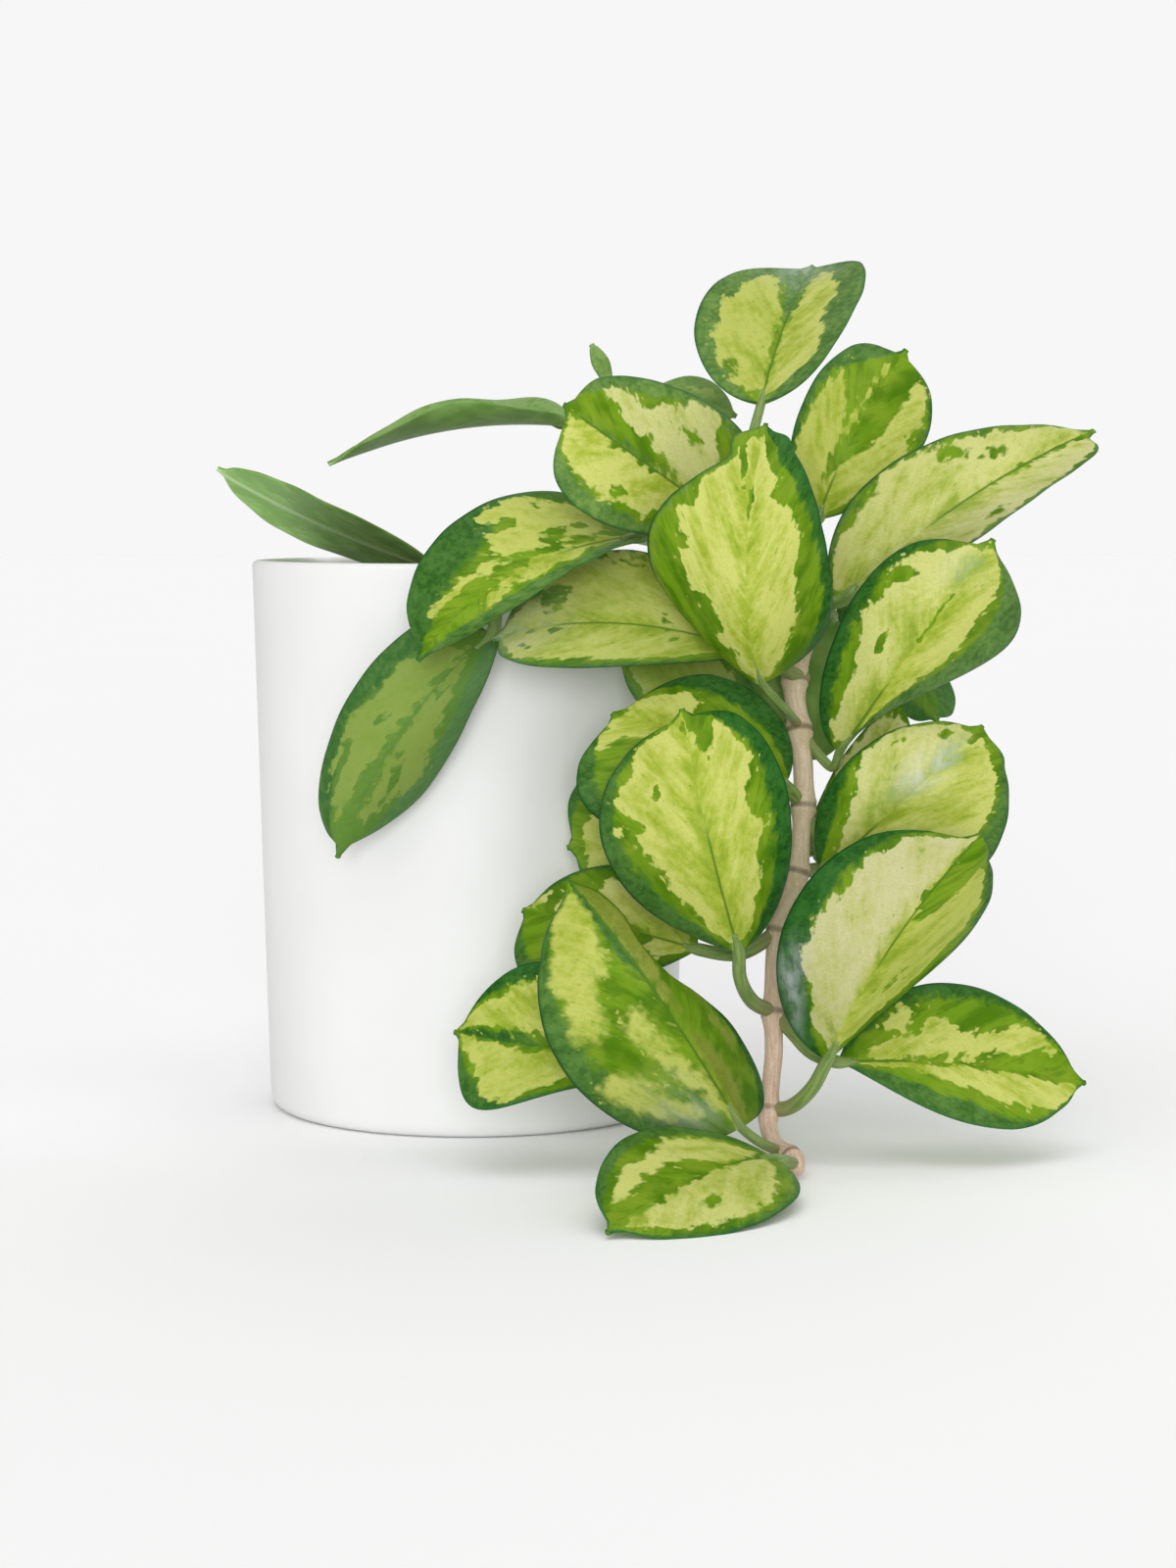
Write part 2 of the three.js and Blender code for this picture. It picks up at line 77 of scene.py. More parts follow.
# ---------------------------------------------------------------- leaves
BLADE_ROWS = 64
BLADE_COLUMNS = 26
CROWDING = 0.65  # how far the columns draw together toward the margins
YOUNG_SEED = 91
YOUNG_GRID = (24, 12)  # the young leaf's rows and columns
BLADE_MIDDLE = 1.4  # thickness beside the midrib
BLADE_THINNING = 0.35  # the share lost toward the margin
BLADE_LEAST = 0.12  # half the least thickness
BLADE_END = 0.8
TIP_START = 0.96
TIP_SLOPE = 3.4
WAIST_AT = 0.62  # where a drawn-in edge is narrowest, as a share of the blade from the base
WAIST_LENGTH = 0.2
RIB_GROOVE = 0.3
GROOVE_WIDTH = 0.9
EDGE_RIPPLE = 0.35
VEIN_SWELL = 0.12
VEIN_SPACING = 2.6
VEIN_SLANT = 0.8
VEIN_WAY = (0.86, 0.51)  # along the midrib and away from it
FAR = 9.0  # mm: a place further than this from a field's edge is simply inside or outside
SHARP = 2.2  # how much nearer to their outlines the small green shapes keep
STATIONS = (0, 0.25, 0.5, 0.75, 1)  # where a leaf's dark margin is given
HALF_BLEND = 0.08  # the share of the width over which one half's tint gives way to the other's
SEED_APART = 23.7  # how far apart two leaves lie in the noise of their skin

# ---------------------------------------------------------------- stalks and stems
STALK_SIDES = 12
STALK_STEPS = 30
STALK_BASE = 2.0
STALK_TOP = 1.6
STEM_SIDES = 24
NODE_SWELLING = 0.35
NODE_REACH = 3.2
SCAR_RIDGE = (0.16, 1.4, 0.35)  # its height, distance from the node and width
SCAR_GROOVE = (0.12, 0.4)  # the depth and width of the fine groove that rings a node
TIP_ROUNDING = (0.86, 0.55)  # what the last two rings keep of the radius
BARK_GRAIN = 0.018
BARK_LUMPS = 0.02

# through holds a stem's places from the soil on, nodes which of them bear leaves, and radius the
# stem's radius at both ends.
STEMS = {
    "main_vine": {
        "through": [
            (20, -5, 136), (38, -24, 160), (57, -38, 166), (74, -36, 174), (87.2, -42, 161),
            (90.6, -48, 141), (85.4, -50, 120), (86.2, -56, 107), (87, -60, 97.5), (87, -62, 88),
            (85, -68, 71.5), (80, -73, 57), (78.5, -80, 37.5), (78.5, -83, 27.5), (77, -87, 14),
            (77, -90, 9.5), (78.5, -96, 6.4), (82, -102, 4.6), (83, -108, 2.6),
        ],
        "nodes": (2, 3, 4, 5, 6, 7, 9, 10, 11, 12, 14, 17),
        "radius": (3.4, 2.1),
        "steps": 520,
    },
    "short_stem": {
        "through": [(5, -25, 136), (7, -47, 155), (6, -64, 158), (4, -71, 150)],
        "nodes": (3,),
        "radius": (2.4, 1.9),
        "steps": 110,
    },
    "upright_stem": {
        "through": [(15, 17, 136), (18, 14, 148), (26, 9, 167), (31, 3, 188), (38, 0, 199)],
        "nodes": (1, 3),
        "radius": (2.5, 1.2),
        "steps": 160,
    },
}

# ---------------------------------------------------------------- the leaves, one by one
# stalk holds the stalk's places from the stem on. base, mid and tip are on the midrib, and left and
# right at each side's widest place. left_shape and right_shape say how far along that is and how
# blunt the side is, and a third number draws it in near WAIST_AT.
#
# The pattern is in percent, in each leaf's own frame: across, from -100 at the left margin to 100
# at the right, and along, from 0 at the base to 100 at the tip. cream lists the outlines of the
# cream field, cuts and flames those of the green and dark shapes in it. A row of marks or sheen is
# a spot's middle, its reach across and along, and for a sheen its strength. dark is where the
# margins begin on the left and on the right at the STATIONS, and rib where the midrib shows.
#
# pale, haze, shade, soft, olive and green tint the leaf, as one number or as one for each
# side: the cream's paleness, which on some leaves also lightens or darkens one side as painted
# light, a painted grey sheen over the dark margins, painted shadow, the field's soft edge, a duller
# tone, and no cream at all. slim thins the stalk. wave and waves ripple the margin.
USUAL = {
    "left_shape": (0.55, 0.5), "right_shape": (0.55, 0.5),
    "cream": [], "cuts": [], "marks": [], "flames": [], "sheen": [],
    "dark": ((-70, -85, -90, -88, -70), (70, 85, 90, 88, 70)),
    "rib": (0, 35),
    "pale": 0.0, "haze": 0.4, "shade": 0.0, "soft": 0.0, "olive": 0.0, "green": 0.0,
    "slim": 1.0, "wave": 0.0, "waves": 1.5,
}
# the plain field of the leaves whose cream doesn't show in the photo
BROAD = [(-30, 6), (-62, 25), (-72, 50), (-66, 75), (-35, 90), (30, 90), (66, 75), (72, 50),
         (62, 25), (30, 6)]

YOUNG_LEAF = USUAL | {
    "base": (37.5, 0, 198), "mid": (35.2, -1, 203), "tip": (32.6, -1, 208.5),
    "left": (33.2, -2, 202), "right": (37.4, 0, 204.2),
    "left_shape": (0.5, 0.5), "right_shape": (0.5, 0.5),
    "green": 1.0,
}

LEAVES = {}


def add_leaf(name, **given):
    LEAVES[name] = USUAL | given


add_leaf(
    "leaf_top", stalk=[(73, -36, 174), (75.5, -27, 184)],
    base=(78, -18, 192), mid=(85.5, 8, 213.5), tip=(95, 36, 232),
    left=(63, 8, 221), right=(107, 10, 223), left_shape=(0.65, 0.25), right_shape=(0.6, 0.25),
    cream=[
        [(-4, 3), (-70, 10), (-80, 30), (-76, 50), (-80, 64), (-68, 70), (-70, 84), (-55, 90),
         (-38, 88), (-28, 80), (-14, 62), (-5, 35)],
        [(3, 3), (3, 50), (13, 70), (12, 85), (27, 92), (46, 90), (50, 82), (60, 77), (56, 60),
         (52, 50), (68, 36), (68, 20), (52, 10), (30, 4)],
    ],
    flames=[[(-40, 100), (15, 100), (10, 75), (0, 52), (-6, 56), (-18, 80)]],
    marks=[(-60, 20, 9, 5)], dark=((-55, -70, -70, -66, -30), (30, 55, 50, 50, 20)), rib=(0, 90),
    pale=(-0.6, -0.15), haze=0.8, soft=0.4, sheen=[(0, 100, 120, 30, 34)], shade=(0.0, 0.07),
    slim=0.75,
)
add_leaf(
    "leaf_upper_right", stalk=[(87.2, -42, 161)],
    base=(92.5, -32, 161.5), mid=(102, -32, 184), tip=(116.5, -18, 206),
    left=(91, -22, 196.5), right=(121, -24, 180.5), left_shape=(0.6, 0.25),
    right_shape=(0.65, 0.45),
    cream=[
        [(-24, 3), (-80, 12), (-88, 32), (-80, 50), (-74, 66), (-74, 78), (-50, 66), (-28, 57),
         (-18, 44), (-20, 20), (-13, 20), (2, 30), (20, 42), (36, 54), (30, 64), (46, 74),
         (50, 86), (60, 90), (82, 88), (80, 76), (70, 66), (84, 55), (82, 42), (78, 30),
         (68, 15), (40, 4), (0, 2)],
        [(-14, 36), (-16, 56), (-12, 74), (-16, 90), (-6, 90), (-4, 72), (-6, 50)],
    ],
    cuts=[
        [(-12, 100), (50, 88), (40, 70), (34, 55), (16, 42), (0, 30), (-19, 17), (-14, 36),
         (-6, 55), (-4, 90)],
        [(-20, 98), (-70, 86), (-42, 68), (-22, 60)],
    ],
    dark=((-60, -85, -88, -80, -10), (70, 88, 92, 92, 80)), rib=(0, 30), pale=(-0.6, -0.3),
    soft=0.25,
)
add_leaf(
    "leaf_long_right", stalk=[(90.6, -48, 141)],
    base=(96.5, -50, 140), mid=(128, -58, 166), tip=(163, -44, 184),
    left=(112, -44, 177), right=(136, -50, 159), left_shape=(0.5, 0.65), right_shape=(0.45, 0.25),
    cream=[
        [(-60, 4), (-92, 12), (-78, 22), (-78, 36), (-95, 42), (-92, 56), (-86, 64), (-80, 74),
         (-84, 86), (-70, 96), (-2, 96), (0, 60), (5, 70), (10, 96), (70, 96), (84, 80),
         (84, 40), (76, 15), (50, 4)],
    ],
    marks=[(-86, 85, 13, 4), (-72, 62, 14, 4), (-42, 71, 11, 3), (-93, 25, 12, 5), (60, 52, 7, 3)],
    dark=((-80, -93, -97, -95, -90), (75, 86, 86, 86, 80)), rib=(38, 98), pale=(0.4, 0.7), haze=0.6,
    soft=0.3,
)
add_leaf(
    "leaf_upper_left", stalk=[(59, -38, 166.5), (64, -44, 162)],
    base=(68.5, -50, 160.5), mid=(46.5, -70, 175), tip=(25.5, -74, 190),
    left=(28.5, -80, 164.5), right=(65, -52, 189.5), left_shape=(0.75, 0.25),
    right_shape=(0.3, 0.4),
    cream=[
        [(-3, 10), (-70, 13), (-64, 28), (-68, 40), (-62, 52), (-70, 64), (-66, 76), (-70, 86),
         (-56, 94), (-6, 95), (-4, 80), (-2, 40)],
        [(7, 14), (8, 32), (18, 43), (20, 50), (34, 55), (24, 60), (32, 70), (46, 74), (50, 80),
         (68, 85), (78, 79), (70, 70), (60, 62), (74, 54), (86, 46), (93, 42), (92, 27),
         (70, 24), (45, 14)],
    ],
    cuts=[
        [(-62, 62), (-50, 64), (-44, 56), (-56, 52)],
        [(-78, 42), (-50, 40), (-56, 33), (-76, 32)],
    ],
    flames=[[(0, 90), (8, 85), (10, 50), (6, 20), (1, 15)]],
    marks=[(58, 38, 7, 8)], dark=((-80, -85, -78, -72, -70), (90, 92, 86, 72, 55)), rib=(0, 95),
    pale=(-0.1, 0.5), haze=0.9, soft=0.2,
)
add_leaf(
    "leaf_arching_left", stalk=[(55, -37, 165.5), (52, -48, 160)],
    base=(45.5, -58, 157), mid=(14, -86, 148), tip=(-10.5, -84, 126.5),
    left=(21.5, -86, 145), right=(3.5, -72, 164.5), left_shape=(0.6, 0.65), right_shape=(0.45, 0.4),
    cream=[
        [(-36, 72), (-26, 70), (-13, 66), (0, 58), (5, 42), (6, 25), (8, 8), (-8, 8), (-16, 22),
         (-44, 30), (-36, 40), (-44, 50), (-30, 54), (-32, 62)],
        [(18, 14), (20, 30), (26, 46), (24, 56), (30, 68), (26, 78), (30, 87), (43, 86), (40, 74),
         (43, 66), (36, 60), (34, 50), (60, 49), (88, 48), (93, 30), (84, 16), (40, 10)],
    ],
    cuts=[
        [(60, 49), (74, 47), (72, 36), (62, 37)],
        [(30, 36), (42, 34), (44, 16), (34, 14)],
        [(74, 26), (84, 28), (80, 20)],
    ],
    marks=[(-16, 50, 4, 3)], dark=((-50, -60, -50, -36, -5), (95, 95, 60, 42, 10)),
    pale=(-0.6, -0.5), haze=(0.55, 0.25), soft=0.1,
)
add_leaf(
    "leaf_front_centre", stalk=[(86.5, -56, 108), (82, -66, 113)],
    base=(75.5, -74, 120.5), mid=(70.5, -92, 149.5), tip=(76.5, -70, 185),
    left=(46.5, -80, 154.5), right=(92.5, -80, 148), left_shape=(0.35, 1.1), right_shape=(0.3, 0.6),
    cream=[
        [(-12, 3), (-30, 6), (-20, 14), (-44, 15), (-34, 24), (-52, 27), (-56, 36), (-74, 44),
         (-70, 52), (-86, 58), (-74, 64), (-90, 72), (-86, 84), (-50, 93), (10, 95), (30, 88),
         (48, 80), (52, 70), (66, 62), (70, 52), (56, 45), (60, 38), (50, 22), (36, 12),
         (25, 3)],
    ],
    cuts=[
        [(-74, 95), (-66, 87), (-20, 77), (-26, 85), (-50, 91)],
        [(-10, 80), (-2, 84), (4, 74), (0, 66)],
        [(-56, 32), (-36, 33), (-24, 20), (-40, 18)],
        [(-86, 68), (-76, 68), (-76, 62), (-86, 62)],
        [(34, 74), (50, 78), (54, 70), (44, 70)],
        [(-80, 50), (-62, 52), (-60, 47), (-74, 45)],
    ],
    dark=((-90, -96, -98, -97, -90), (72, 86, 88, 78, 40)), rib=(0, 12), pale=(-0.15, -0.15),
    haze=(0.9, 0.05), slim=0.62,
)
add_leaf(
    "leaf_right", stalk=[(86.5, -56, 107), (91, -60, 101), (94.5, -63, 98)],
    base=(96, -66, 102.5), mid=(113.5, -82, 130.5), tip=(132.5, -82, 156.5),
    left=(101.5, -74, 146), right=(140.5, -68, 132), left_shape=(0.7, 0.25),
    right_shape=(0.7, 0.95),
    cream=[
        [(-15, 3), (-60, 5), (-72, 10), (-56, 16), (-64, 24), (-52, 30), (-66, 42), (-70, 50),
         (-80, 56), (-70, 64), (-70, 70), (-88, 82), (-62, 88), (-30, 95), (50, 95), (52, 84),
         (44, 70), (50, 52), (44, 34), (20, 12)],
    ],
    cuts=[
        [(-82, 70), (-56, 73), (-50, 77), (-62, 81), (-84, 78)],
        [(-48, 52), (-38, 54), (-34, 44), (-42, 40)],
        [(-6, 72), (0, 74), (2, 50), (-3, 52)],
    ],
    dark=((-74, -80, -82, -86, -80), (22, 40, 62, 62, 60)), pale=(0.35, 0.0), haze=(0.05, 0.65),
    sheen=[(-10, 85, 50, 16, 18)], slim=0.7,
)
add_leaf(
    "leaf_right_middle", stalk=[(87, -62, 88), (90, -65, 81)],
    base=(92, -72, 72.5), mid=(112, -82, 92.5), tip=(131.5, -70, 109),
    left=(99.5, -76, 103), right=(131, -66, 71), left_shape=(0.55, 0.55), right_shape=(0.3, 0.6),
    cream=[
        [(-10, 10), (-40, 24), (-50, 38), (-66, 44), (-90, 56), (-96, 76), (-70, 93), (30, 94),
         (62, 86), (80, 78), (76, 55), (75, 40), (60, 20), (20, 10)],
    ],
    marks=[(-74, 70, 5, 3), (-45, 86, 8, 2), (10, 90, 10, 2)],
    dark=((-30, -62, -94, -98, -95), (80, 86, 82, 86, 90)), pale=(0.55, 0.1), haze=(0.05, 0.45),
    sheen=[(-10, 68, 40, 30, 50)], slim=0.8,
)
add_leaf(
    "leaf_right_lower", stalk=[(77, -87, 14), (81.5, -89, 14.5), (87, -94, 20)],
    base=(91, -98, 28.5), mid=(106, -108, 59), tip=(128.5, -98, 84.5),
    left=(86, -102, 74), right=(129, -92, 63), left_shape=(0.65, 0.3), right_shape=(0.55, 1),
    cream=[
        [(-14, 5), (-50, 12), (-56, 22), (-74, 34), (-76, 46), (-74, 58), (-64, 64), (-76, 78),
         (-72, 92), (-30, 97), (-4, 97), (-2, 62), (10, 58), (26, 68), (40, 74), (56, 84),
         (74, 82), (80, 60), (72, 40), (50, 14), (10, 4)],
    ],
    marks=[(35, 33, 9, 5)], dark=((-55, -62, -78, -80, -85), (70, 88, 90, 86, 85)), rib=(40, 98),
    # its paler left side and darker right side are partly painted light
    pale=(0.9, -0.7), haze=(0.0, 0.2), sheen=[(-82, 24, 24, 26, 50)], shade=(0.12, 0.05),
)
add_leaf(
    "leaf_right_bottom", stalk=[(78.5, -80, 37.5), (83, -83, 33), (88, -86, 28)],
    base=(94.5, -88, 26), mid=(125, -86, 25), tip=(158, -76, 18.5),
    left=(127, -72, 43.5), right=(134.5, -94, 10), left_shape=(0.55, 0.6), right_shape=(0.6, 0.8),
    cream=[
        [(-84, 88), (-62, 90), (-46, 84), (-27, 75), (-12, 58), (-6, 38), (-6, 12), (-25, 10),
         (-36, 24), (-40, 36), (-60, 40), (-55, 48), (-38, 52), (-44, 62), (-60, 72),
         (-76, 80)],
        [(-84, 30), (-66, 34), (-48, 28), (-50, 19), (-72, 20)],
        [(4, 12), (5, 45), (6, 66), (14, 80), (22, 95), (85, 96), (86, 86), (66, 76), (56, 66),
         (42, 56), (34, 46), (16, 32), (20, 16), (10, 8)],
    ],
    dark=((-55, -82, -84, -86, -80), (30, 42, 64, 90, 92)), pale=(-0.3, -0.2), haze=(0.15, 0.45),
)
add_leaf(
    "leaf_lower_left", stalk=[(79.5, -98.5, 5.5), (74.5, -103.5, 8.5)],
    base=(69, -108, 13.5), mid=(47.5, -122, 49), tip=(27, -110, 74),
    left=(25.5, -116, 29), right=(67, -105, 38.5), left_shape=(0.5, 0.6),
    right_shape=(0.29, 0.56, 0.6),
    cream=[
        [(-20, 97), (-50, 95), (-84, 93), (-78, 84), (-84, 76), (-74, 66), (-80, 56), (-66, 50),
         (-52, 54), (-50, 63), (-44, 70), (-36, 64), (-26, 66), (-20, 74), (-12, 80),
         (-10, 94)],
        [(-42, 50), (-26, 50), (-14, 30), (0, 5), (-14, 4), (-32, 24)],
        [(-88, 38), (-70, 38), (-56, 26), (-36, 10), (-60, 12), (-80, 22)],
        [(8, 95), (6, 42), (18, 40), (26, 52), (50, 60), (68, 78), (55, 95)],
        [(2, 3), (5, 34), (26, 26), (38, 10), (20, 2)],
        [(56, 34), (74, 34), (70, 22), (58, 22)],
    ],
    flames=[[(-12, 98), (6, 98), (6, 70), (0, 55), (-8, 62)]],
    dark=((-74, -80, -80, -84, -80), (75, 86, 86, 80, 80)), rib=(0, 98), pale=(-0.5, -1.7),
    haze=(0.45, 0.0), soft=1.3, sheen=[(-50, 12, 50, 26, 26)], shade=(0.0, 0.16), slim=0.7,
)
add_leaf(
    "leaf_front_round", stalk=[(78.5, -80, 37.5), (73, -86, 41), (69.5, -92, 48)],
    base=(69, -94, 55), mid=(61, -102, 84.5), tip=(55, -90, 114.5),
    left=(34.5, -92, 83.5), right=(80.5, -92, 96), left_shape=(0.6, 0.55), right_shape=(0.55, 0.4),
    cream=[
        [(-20, 5), (-42, 12), (-42, 24), (-56, 30), (-50, 40), (-66, 50), (-60, 60), (-80, 72),
         (-72, 82), (-88, 88), (-55, 95), (-30, 98), (-5, 96), (10, 95), (40, 95), (60, 90),
         (70, 82), (74, 72), (52, 62), (50, 54), (62, 45), (52, 36), (52, 24), (40, 6), (5, 2)],

        [(-86, 60), (-78, 63), (-80, 56)],
    ],
    cuts=[
        [(0, 100), (2, 88), (7, 80), (10, 86), (13, 93), (17, 84), (24, 71), (32, 82), (50, 90),
         (70, 100)],
        [(-50, 72), (-40, 75), (-36, 70), (-46, 66)],
        [(-22, 99), (-10, 99), (-12, 92)],
    ],
    dark=((-45, -66, -80, -88, -85), (55, 74, 76, 78, 60)), rib=(0, 55), pale=(-0.2, -0.2),
    haze=(0.35, 0.0),
)
add_leaf(
    "leaf_behind_round", stalk=[(87, -62, 88)],
    base=(81.5, -66, 94), mid=(60, -76, 106), tip=(38, -74, 112.5),
    left=(37.5, -80, 84.5), right=(67, -64, 121), left_shape=(0.45, 0.45), right_shape=(0.7, 0.25),
    cream=[
        [(-30, 10), (-66, 30), (-80, 50), (-80, 62), (-50, 66), (-20, 64), (-8, 50), (-5, 20)],
        [(-10, 68), (0, 66), (40, 68), (56, 78), (50, 95), (-70, 95), (-62, 86), (-30, 82)],
    ],
    dark=((-70, -90, -92, -80, -60), (40, 56, 62, 68, 75)), pale=(-0.3, -0.3), haze=(0.3, 0.1),
    soft=0.1,
)
add_leaf(
    "leaf_behind_left", stalk=[(85, -68, 71.5)],
    base=(80.5, -68, 71.5), mid=(54.5, -66, 77.5), tip=(26.5, -60, 77),
    left=(51.5, -70, 56.5), right=(39.5, -56, 98), right_shape=(0.6, 0.5),
    cream=[
        [(-40, 10), (-72, 40), (-80, 70), (-50, 92), (20, 92), (50, 86), (60, 70), (80, 50),
         (60, 20), (30, 8)],
    ],
    pale=(-0.25, -0.2), haze=0.3, olive=0.15,
)
add_leaf(
    "leaf_left_middle", stalk=[(80, -73, 57), (70, -78, 52)],
    base=(59, -80, 53.5), mid=(36.5, -88, 60.5), tip=(15.5, -82, 63.5),
    left=(20.5, -89, 45), right=(41.5, -78, 74.5), left_shape=(0.6, 0.55), right_shape=(0.55, 0.55),
    cream=[
        [(-50, 16), (-78, 36), (-82, 60), (-50, 66), (-20, 62), (-10, 66), (5, 80), (30, 84),
         (42, 78), (30, 68), (10, 62), (-14, 50), (-40, 36), (-30, 16)],
        [(-40, 6), (-42, 22), (-20, 28), (-6, 24), (10, 32), (20, 56), (50, 64), (70, 60),
         (60, 42), (42, 30), (44, 10), (10, 3)],
        [(20, 98), (24, 90), (66, 88), (60, 97)],
    ],
    dark=((-60, -80, -86, -80, -60), (60, 80, 90, 90, 70)), pale=(0.25, 0.3), haze=(0.4, 0.25),
    shade=(0.1, 0.12),
)
add_leaf(
    "leaf_left_bottom", stalk=[(77, -87, 14), (65, -90, 15.5)],
    base=(53.5, -90, 19.5), mid=(22.5, -98, 31), tip=(-1.5, -88, 33.5),
    left=(4, -102, 16.5), right=(24.5, -92, 52), left_shape=(0.8, 0.5), right_shape=(0.6, 0.55),
    cream=[
        [(-6, 20), (-50, 30), (-74, 50), (-90, 64), (-80, 80), (-46, 83), (-30, 93), (-6, 95),
         (-10, 70)],
        [(10, 20), (16, 60), (14, 95), (56, 95), (64, 80), (76, 74), (70, 60), (50, 30)],
    ],
    flames=[[(-3, 98), (10, 98), (10, 60), (0, 54), (-5, 70)]],
    dark=((-60, -85, -94, -80, -40), (70, 86, 86, 76, 70)), pale=(-0.5, -0.5), haze=(0.3, 0.05),
    soft=0.15, wave=2, waves=1.1,
)
add_leaf(
    "leaf_on_surface", stalk=[(82.5, -105, 3.6), (80, -113, 6)],
    base=(76, -120, 8), mid=(57, -147, 9), tip=(36, -172, 1.6),
    left=(73, -158, 1.6), right=(42, -136, 17),
    cream=[
        [(-4, 6), (-50, 12), (-78, 34), (-84, 60), (-70, 84), (-30, 95), (-10, 90), (-6, 50)],
        [(6, 10), (8, 30), (30, 46), (36, 66), (30, 84), (50, 90), (66, 76), (56, 60), (72, 44),
         (62, 24), (30, 8)],
    ],
    marks=[(-40, 62, 7, 5)], dark=((-80, -92, -93, -92, -80), (50, 74, 82, 80, 70)),
    pale=(0.3, 0.2), soft=0.5, slim=0.8,
)
add_leaf(
    "leaf_hanging_left", stalk=[(4, -71, 150), (8, -71, 141)],
    base=(7, -66, 131.5), mid=(-15, -74, 108.5), tip=(-32.5, -64, 75),
    left=(-2.5, -68, 103), right=(-26.5, -68, 120.5), left_shape=(0.75, 0.25),
    right_shape=(0.5, 0.25),
    cream=[
        [(0, 7), (-27, 23), (-50, 43), (-56, 60), (-73, 78), (-66, 86), (-50, 80), (-40, 84),
         (-20, 88), (-6, 86), (-6, 60), (-2, 30)],
        [(12, 10), (8, 40), (12, 60), (22, 80), (28, 90), (46, 86), (66, 84), (76, 70), (72, 50),
         (64, 30), (40, 12)],
    ],
    cuts=[
        [(-44, 86), (-34, 68), (-20, 60), (-22, 70), (-30, 86)],
        [(50, 88), (54, 70), (64, 60), (66, 72), (66, 86)],
        [(-30, 42), (-12, 34), (-10, 26), (-26, 32)],
        [(30, 50), (46, 56), (44, 50), (30, 42)],
    ],
    dark=((-40, -60, -70, -70, -30), (40, 66, 74, 70, 30)), rib=(0, 90), haze=(0.8, 0.1), soft=0.3,
    shade=(0.15, 0.1), olive=1,
)
add_leaf(
    "leaf_pale_left", stalk=[(88, -50, 120), (82, -55, 123)],
    base=(76, -58, 126.5), mid=(40.5, -72, 135), tip=(8, -78, 131.5),
    left=(25, -82, 124.5), right=(39.5, -54, 153.5), left_shape=(0.6, 0.6),
    cream=[
        [(-30, 6), (-70, 25), (-74, 50), (-80, 70), (-84, 88), (-40, 96), (50, 96), (86, 80),
         (95, 56), (95, 30), (70, 8)],
    ],
    marks=[(50, 78, 20, 5), (72, 87, 10, 3.5), (88, 50, 8, 6), (-50, 83, 8, 3), (-10, 76, 4, 4),
           (12, 35, 5, 2), (-20, 30, 6, 1.5)],
    dark=((-80, -88, -86, -93, -97), (90, 95, 97, 95, 95)), rib=(10, 80), pale=(0.1, -0.3),
    haze=0.5, soft=0.25, sheen=[(-10, 95, 130, 36, 30)], shade=(0.12, 0.06), olive=0.2,
)
add_leaf(
    "leaf_far_left", stalk=[(31, 3, 188), (29, -3, 188)],
    base=(26.5, -6, 187), mid=(-7, 0, 186), tip=(-39, -4, 176),
    left=(-6, -20, 190.5), right=(-2.5, 20, 194.5),
    green=0.9, wave=1.5,
)
add_leaf(
    "leaf_over_rim", stalk=[(18, 14, 148), (4, 9, 150)],
    base=(-11.5, 8, 148), mid=(-43, 12, 160.5), tip=(-70.5, 8, 175),
    left=(-41, -10, 167), right=(-49, 32, 154.5),
    green=0.9,
)
add_leaf(
    "leaf_back_top", stalk=[(31, 3, 188), (36, 7, 190)],
    base=(42.5, 8, 188), mid=(57.5, 14, 193), tip=(73, 18, 189.5),
    left=(60.5, 26, 201), right=(56, 0, 183.5),
    cream=[[(-50, 55), (-60, 75), (-35, 80), (-30, 60)], [(0, 10), (10, 60), (60, 60), (50, 10)]],
    haze=0.7, olive=0.3, green=0.6,
)
add_leaf(
    "leaf_behind_stem", stalk=[(90.2, -48.5, 138.5)],
    base=(95.5, -42, 136), mid=(86, -42, 118), tip=(84.5, -44, 98.5),
    left=(63, -36, 120.5), right=(101, -38, 108.5),
    cream=[[(-30, 50), (-50, 75), (-20, 90), (10, 70)]],
    olive=0.8,
)
add_leaf(
    "leaf_behind_right", stalk=[(90.7, -46.5, 145)],
    base=(99.5, -34, 143), mid=(115, -22, 126), tip=(126, -16, 106.5),
    left=(129, -12, 118.5), right=(106.5, -20, 119), left_shape=(0.6, 0.5), right_shape=(0.5, 0.5),
    cream=[[(-20, 20), (-40, 50), (-10, 70), (20, 40)]],
    dark=((-50, -60, -50, -40, -20), (50, 70, 60, 50, 30)), olive=0.5,
)
add_leaf(
    "leaf_behind_pale", stalk=[(86.5, -56, 107)],
    base=(75, -50, 108), mid=(57, -54, 118.5), tip=(39, -54, 126.5),
    left=(54.5, -56, 105.5), right=(61, -46, 133.5),
    cream=[BROAD],
    olive=0.7,
)
add_leaf(
    "leaf_behind_low", stalk=[(86, -64.5, 80)],
    base=(89, -57, 76), mid=(102, -48, 94), tip=(114.5, -44, 113.5),
    left=(98, -46, 99), right=(111, -44, 90),
    cream=[[(-50, 10), (-90, 50), (-70, 90), (70, 90), (90, 50), (50, 10)]],
    dark=((-90, -96, -97, -97, -90), (90, 96, 97, 97, 90)), pale=(0.6, 0.6),
)
add_leaf(
    "leaf_back_high", stalk=[(77.5, -37, 172)],
    base=(78, -27, 174), mid=(68, 4, 178), tip=(60, 36, 168),
    left=(49, 2, 177), right=(87, 6, 177),
    cream=[BROAD],
)
add_leaf(
    "leaf_back_middle", stalk=[(85, -68, 71.5)],
    base=(94, -58, 72), mid=(112, -38, 74), tip=(122, -14, 62),
    left=(98, -27, 73), right=(126, -49, 73),
    cream=[BROAD],
)
add_leaf(
    "leaf_back_low", stalk=[(80, -73, 57)],
    base=(91, -66, 52), mid=(104, -49, 44), tip=(106, -30, 34),
    left=(92, -41, 44), right=(117, -56, 44),
    cream=[BROAD],
)
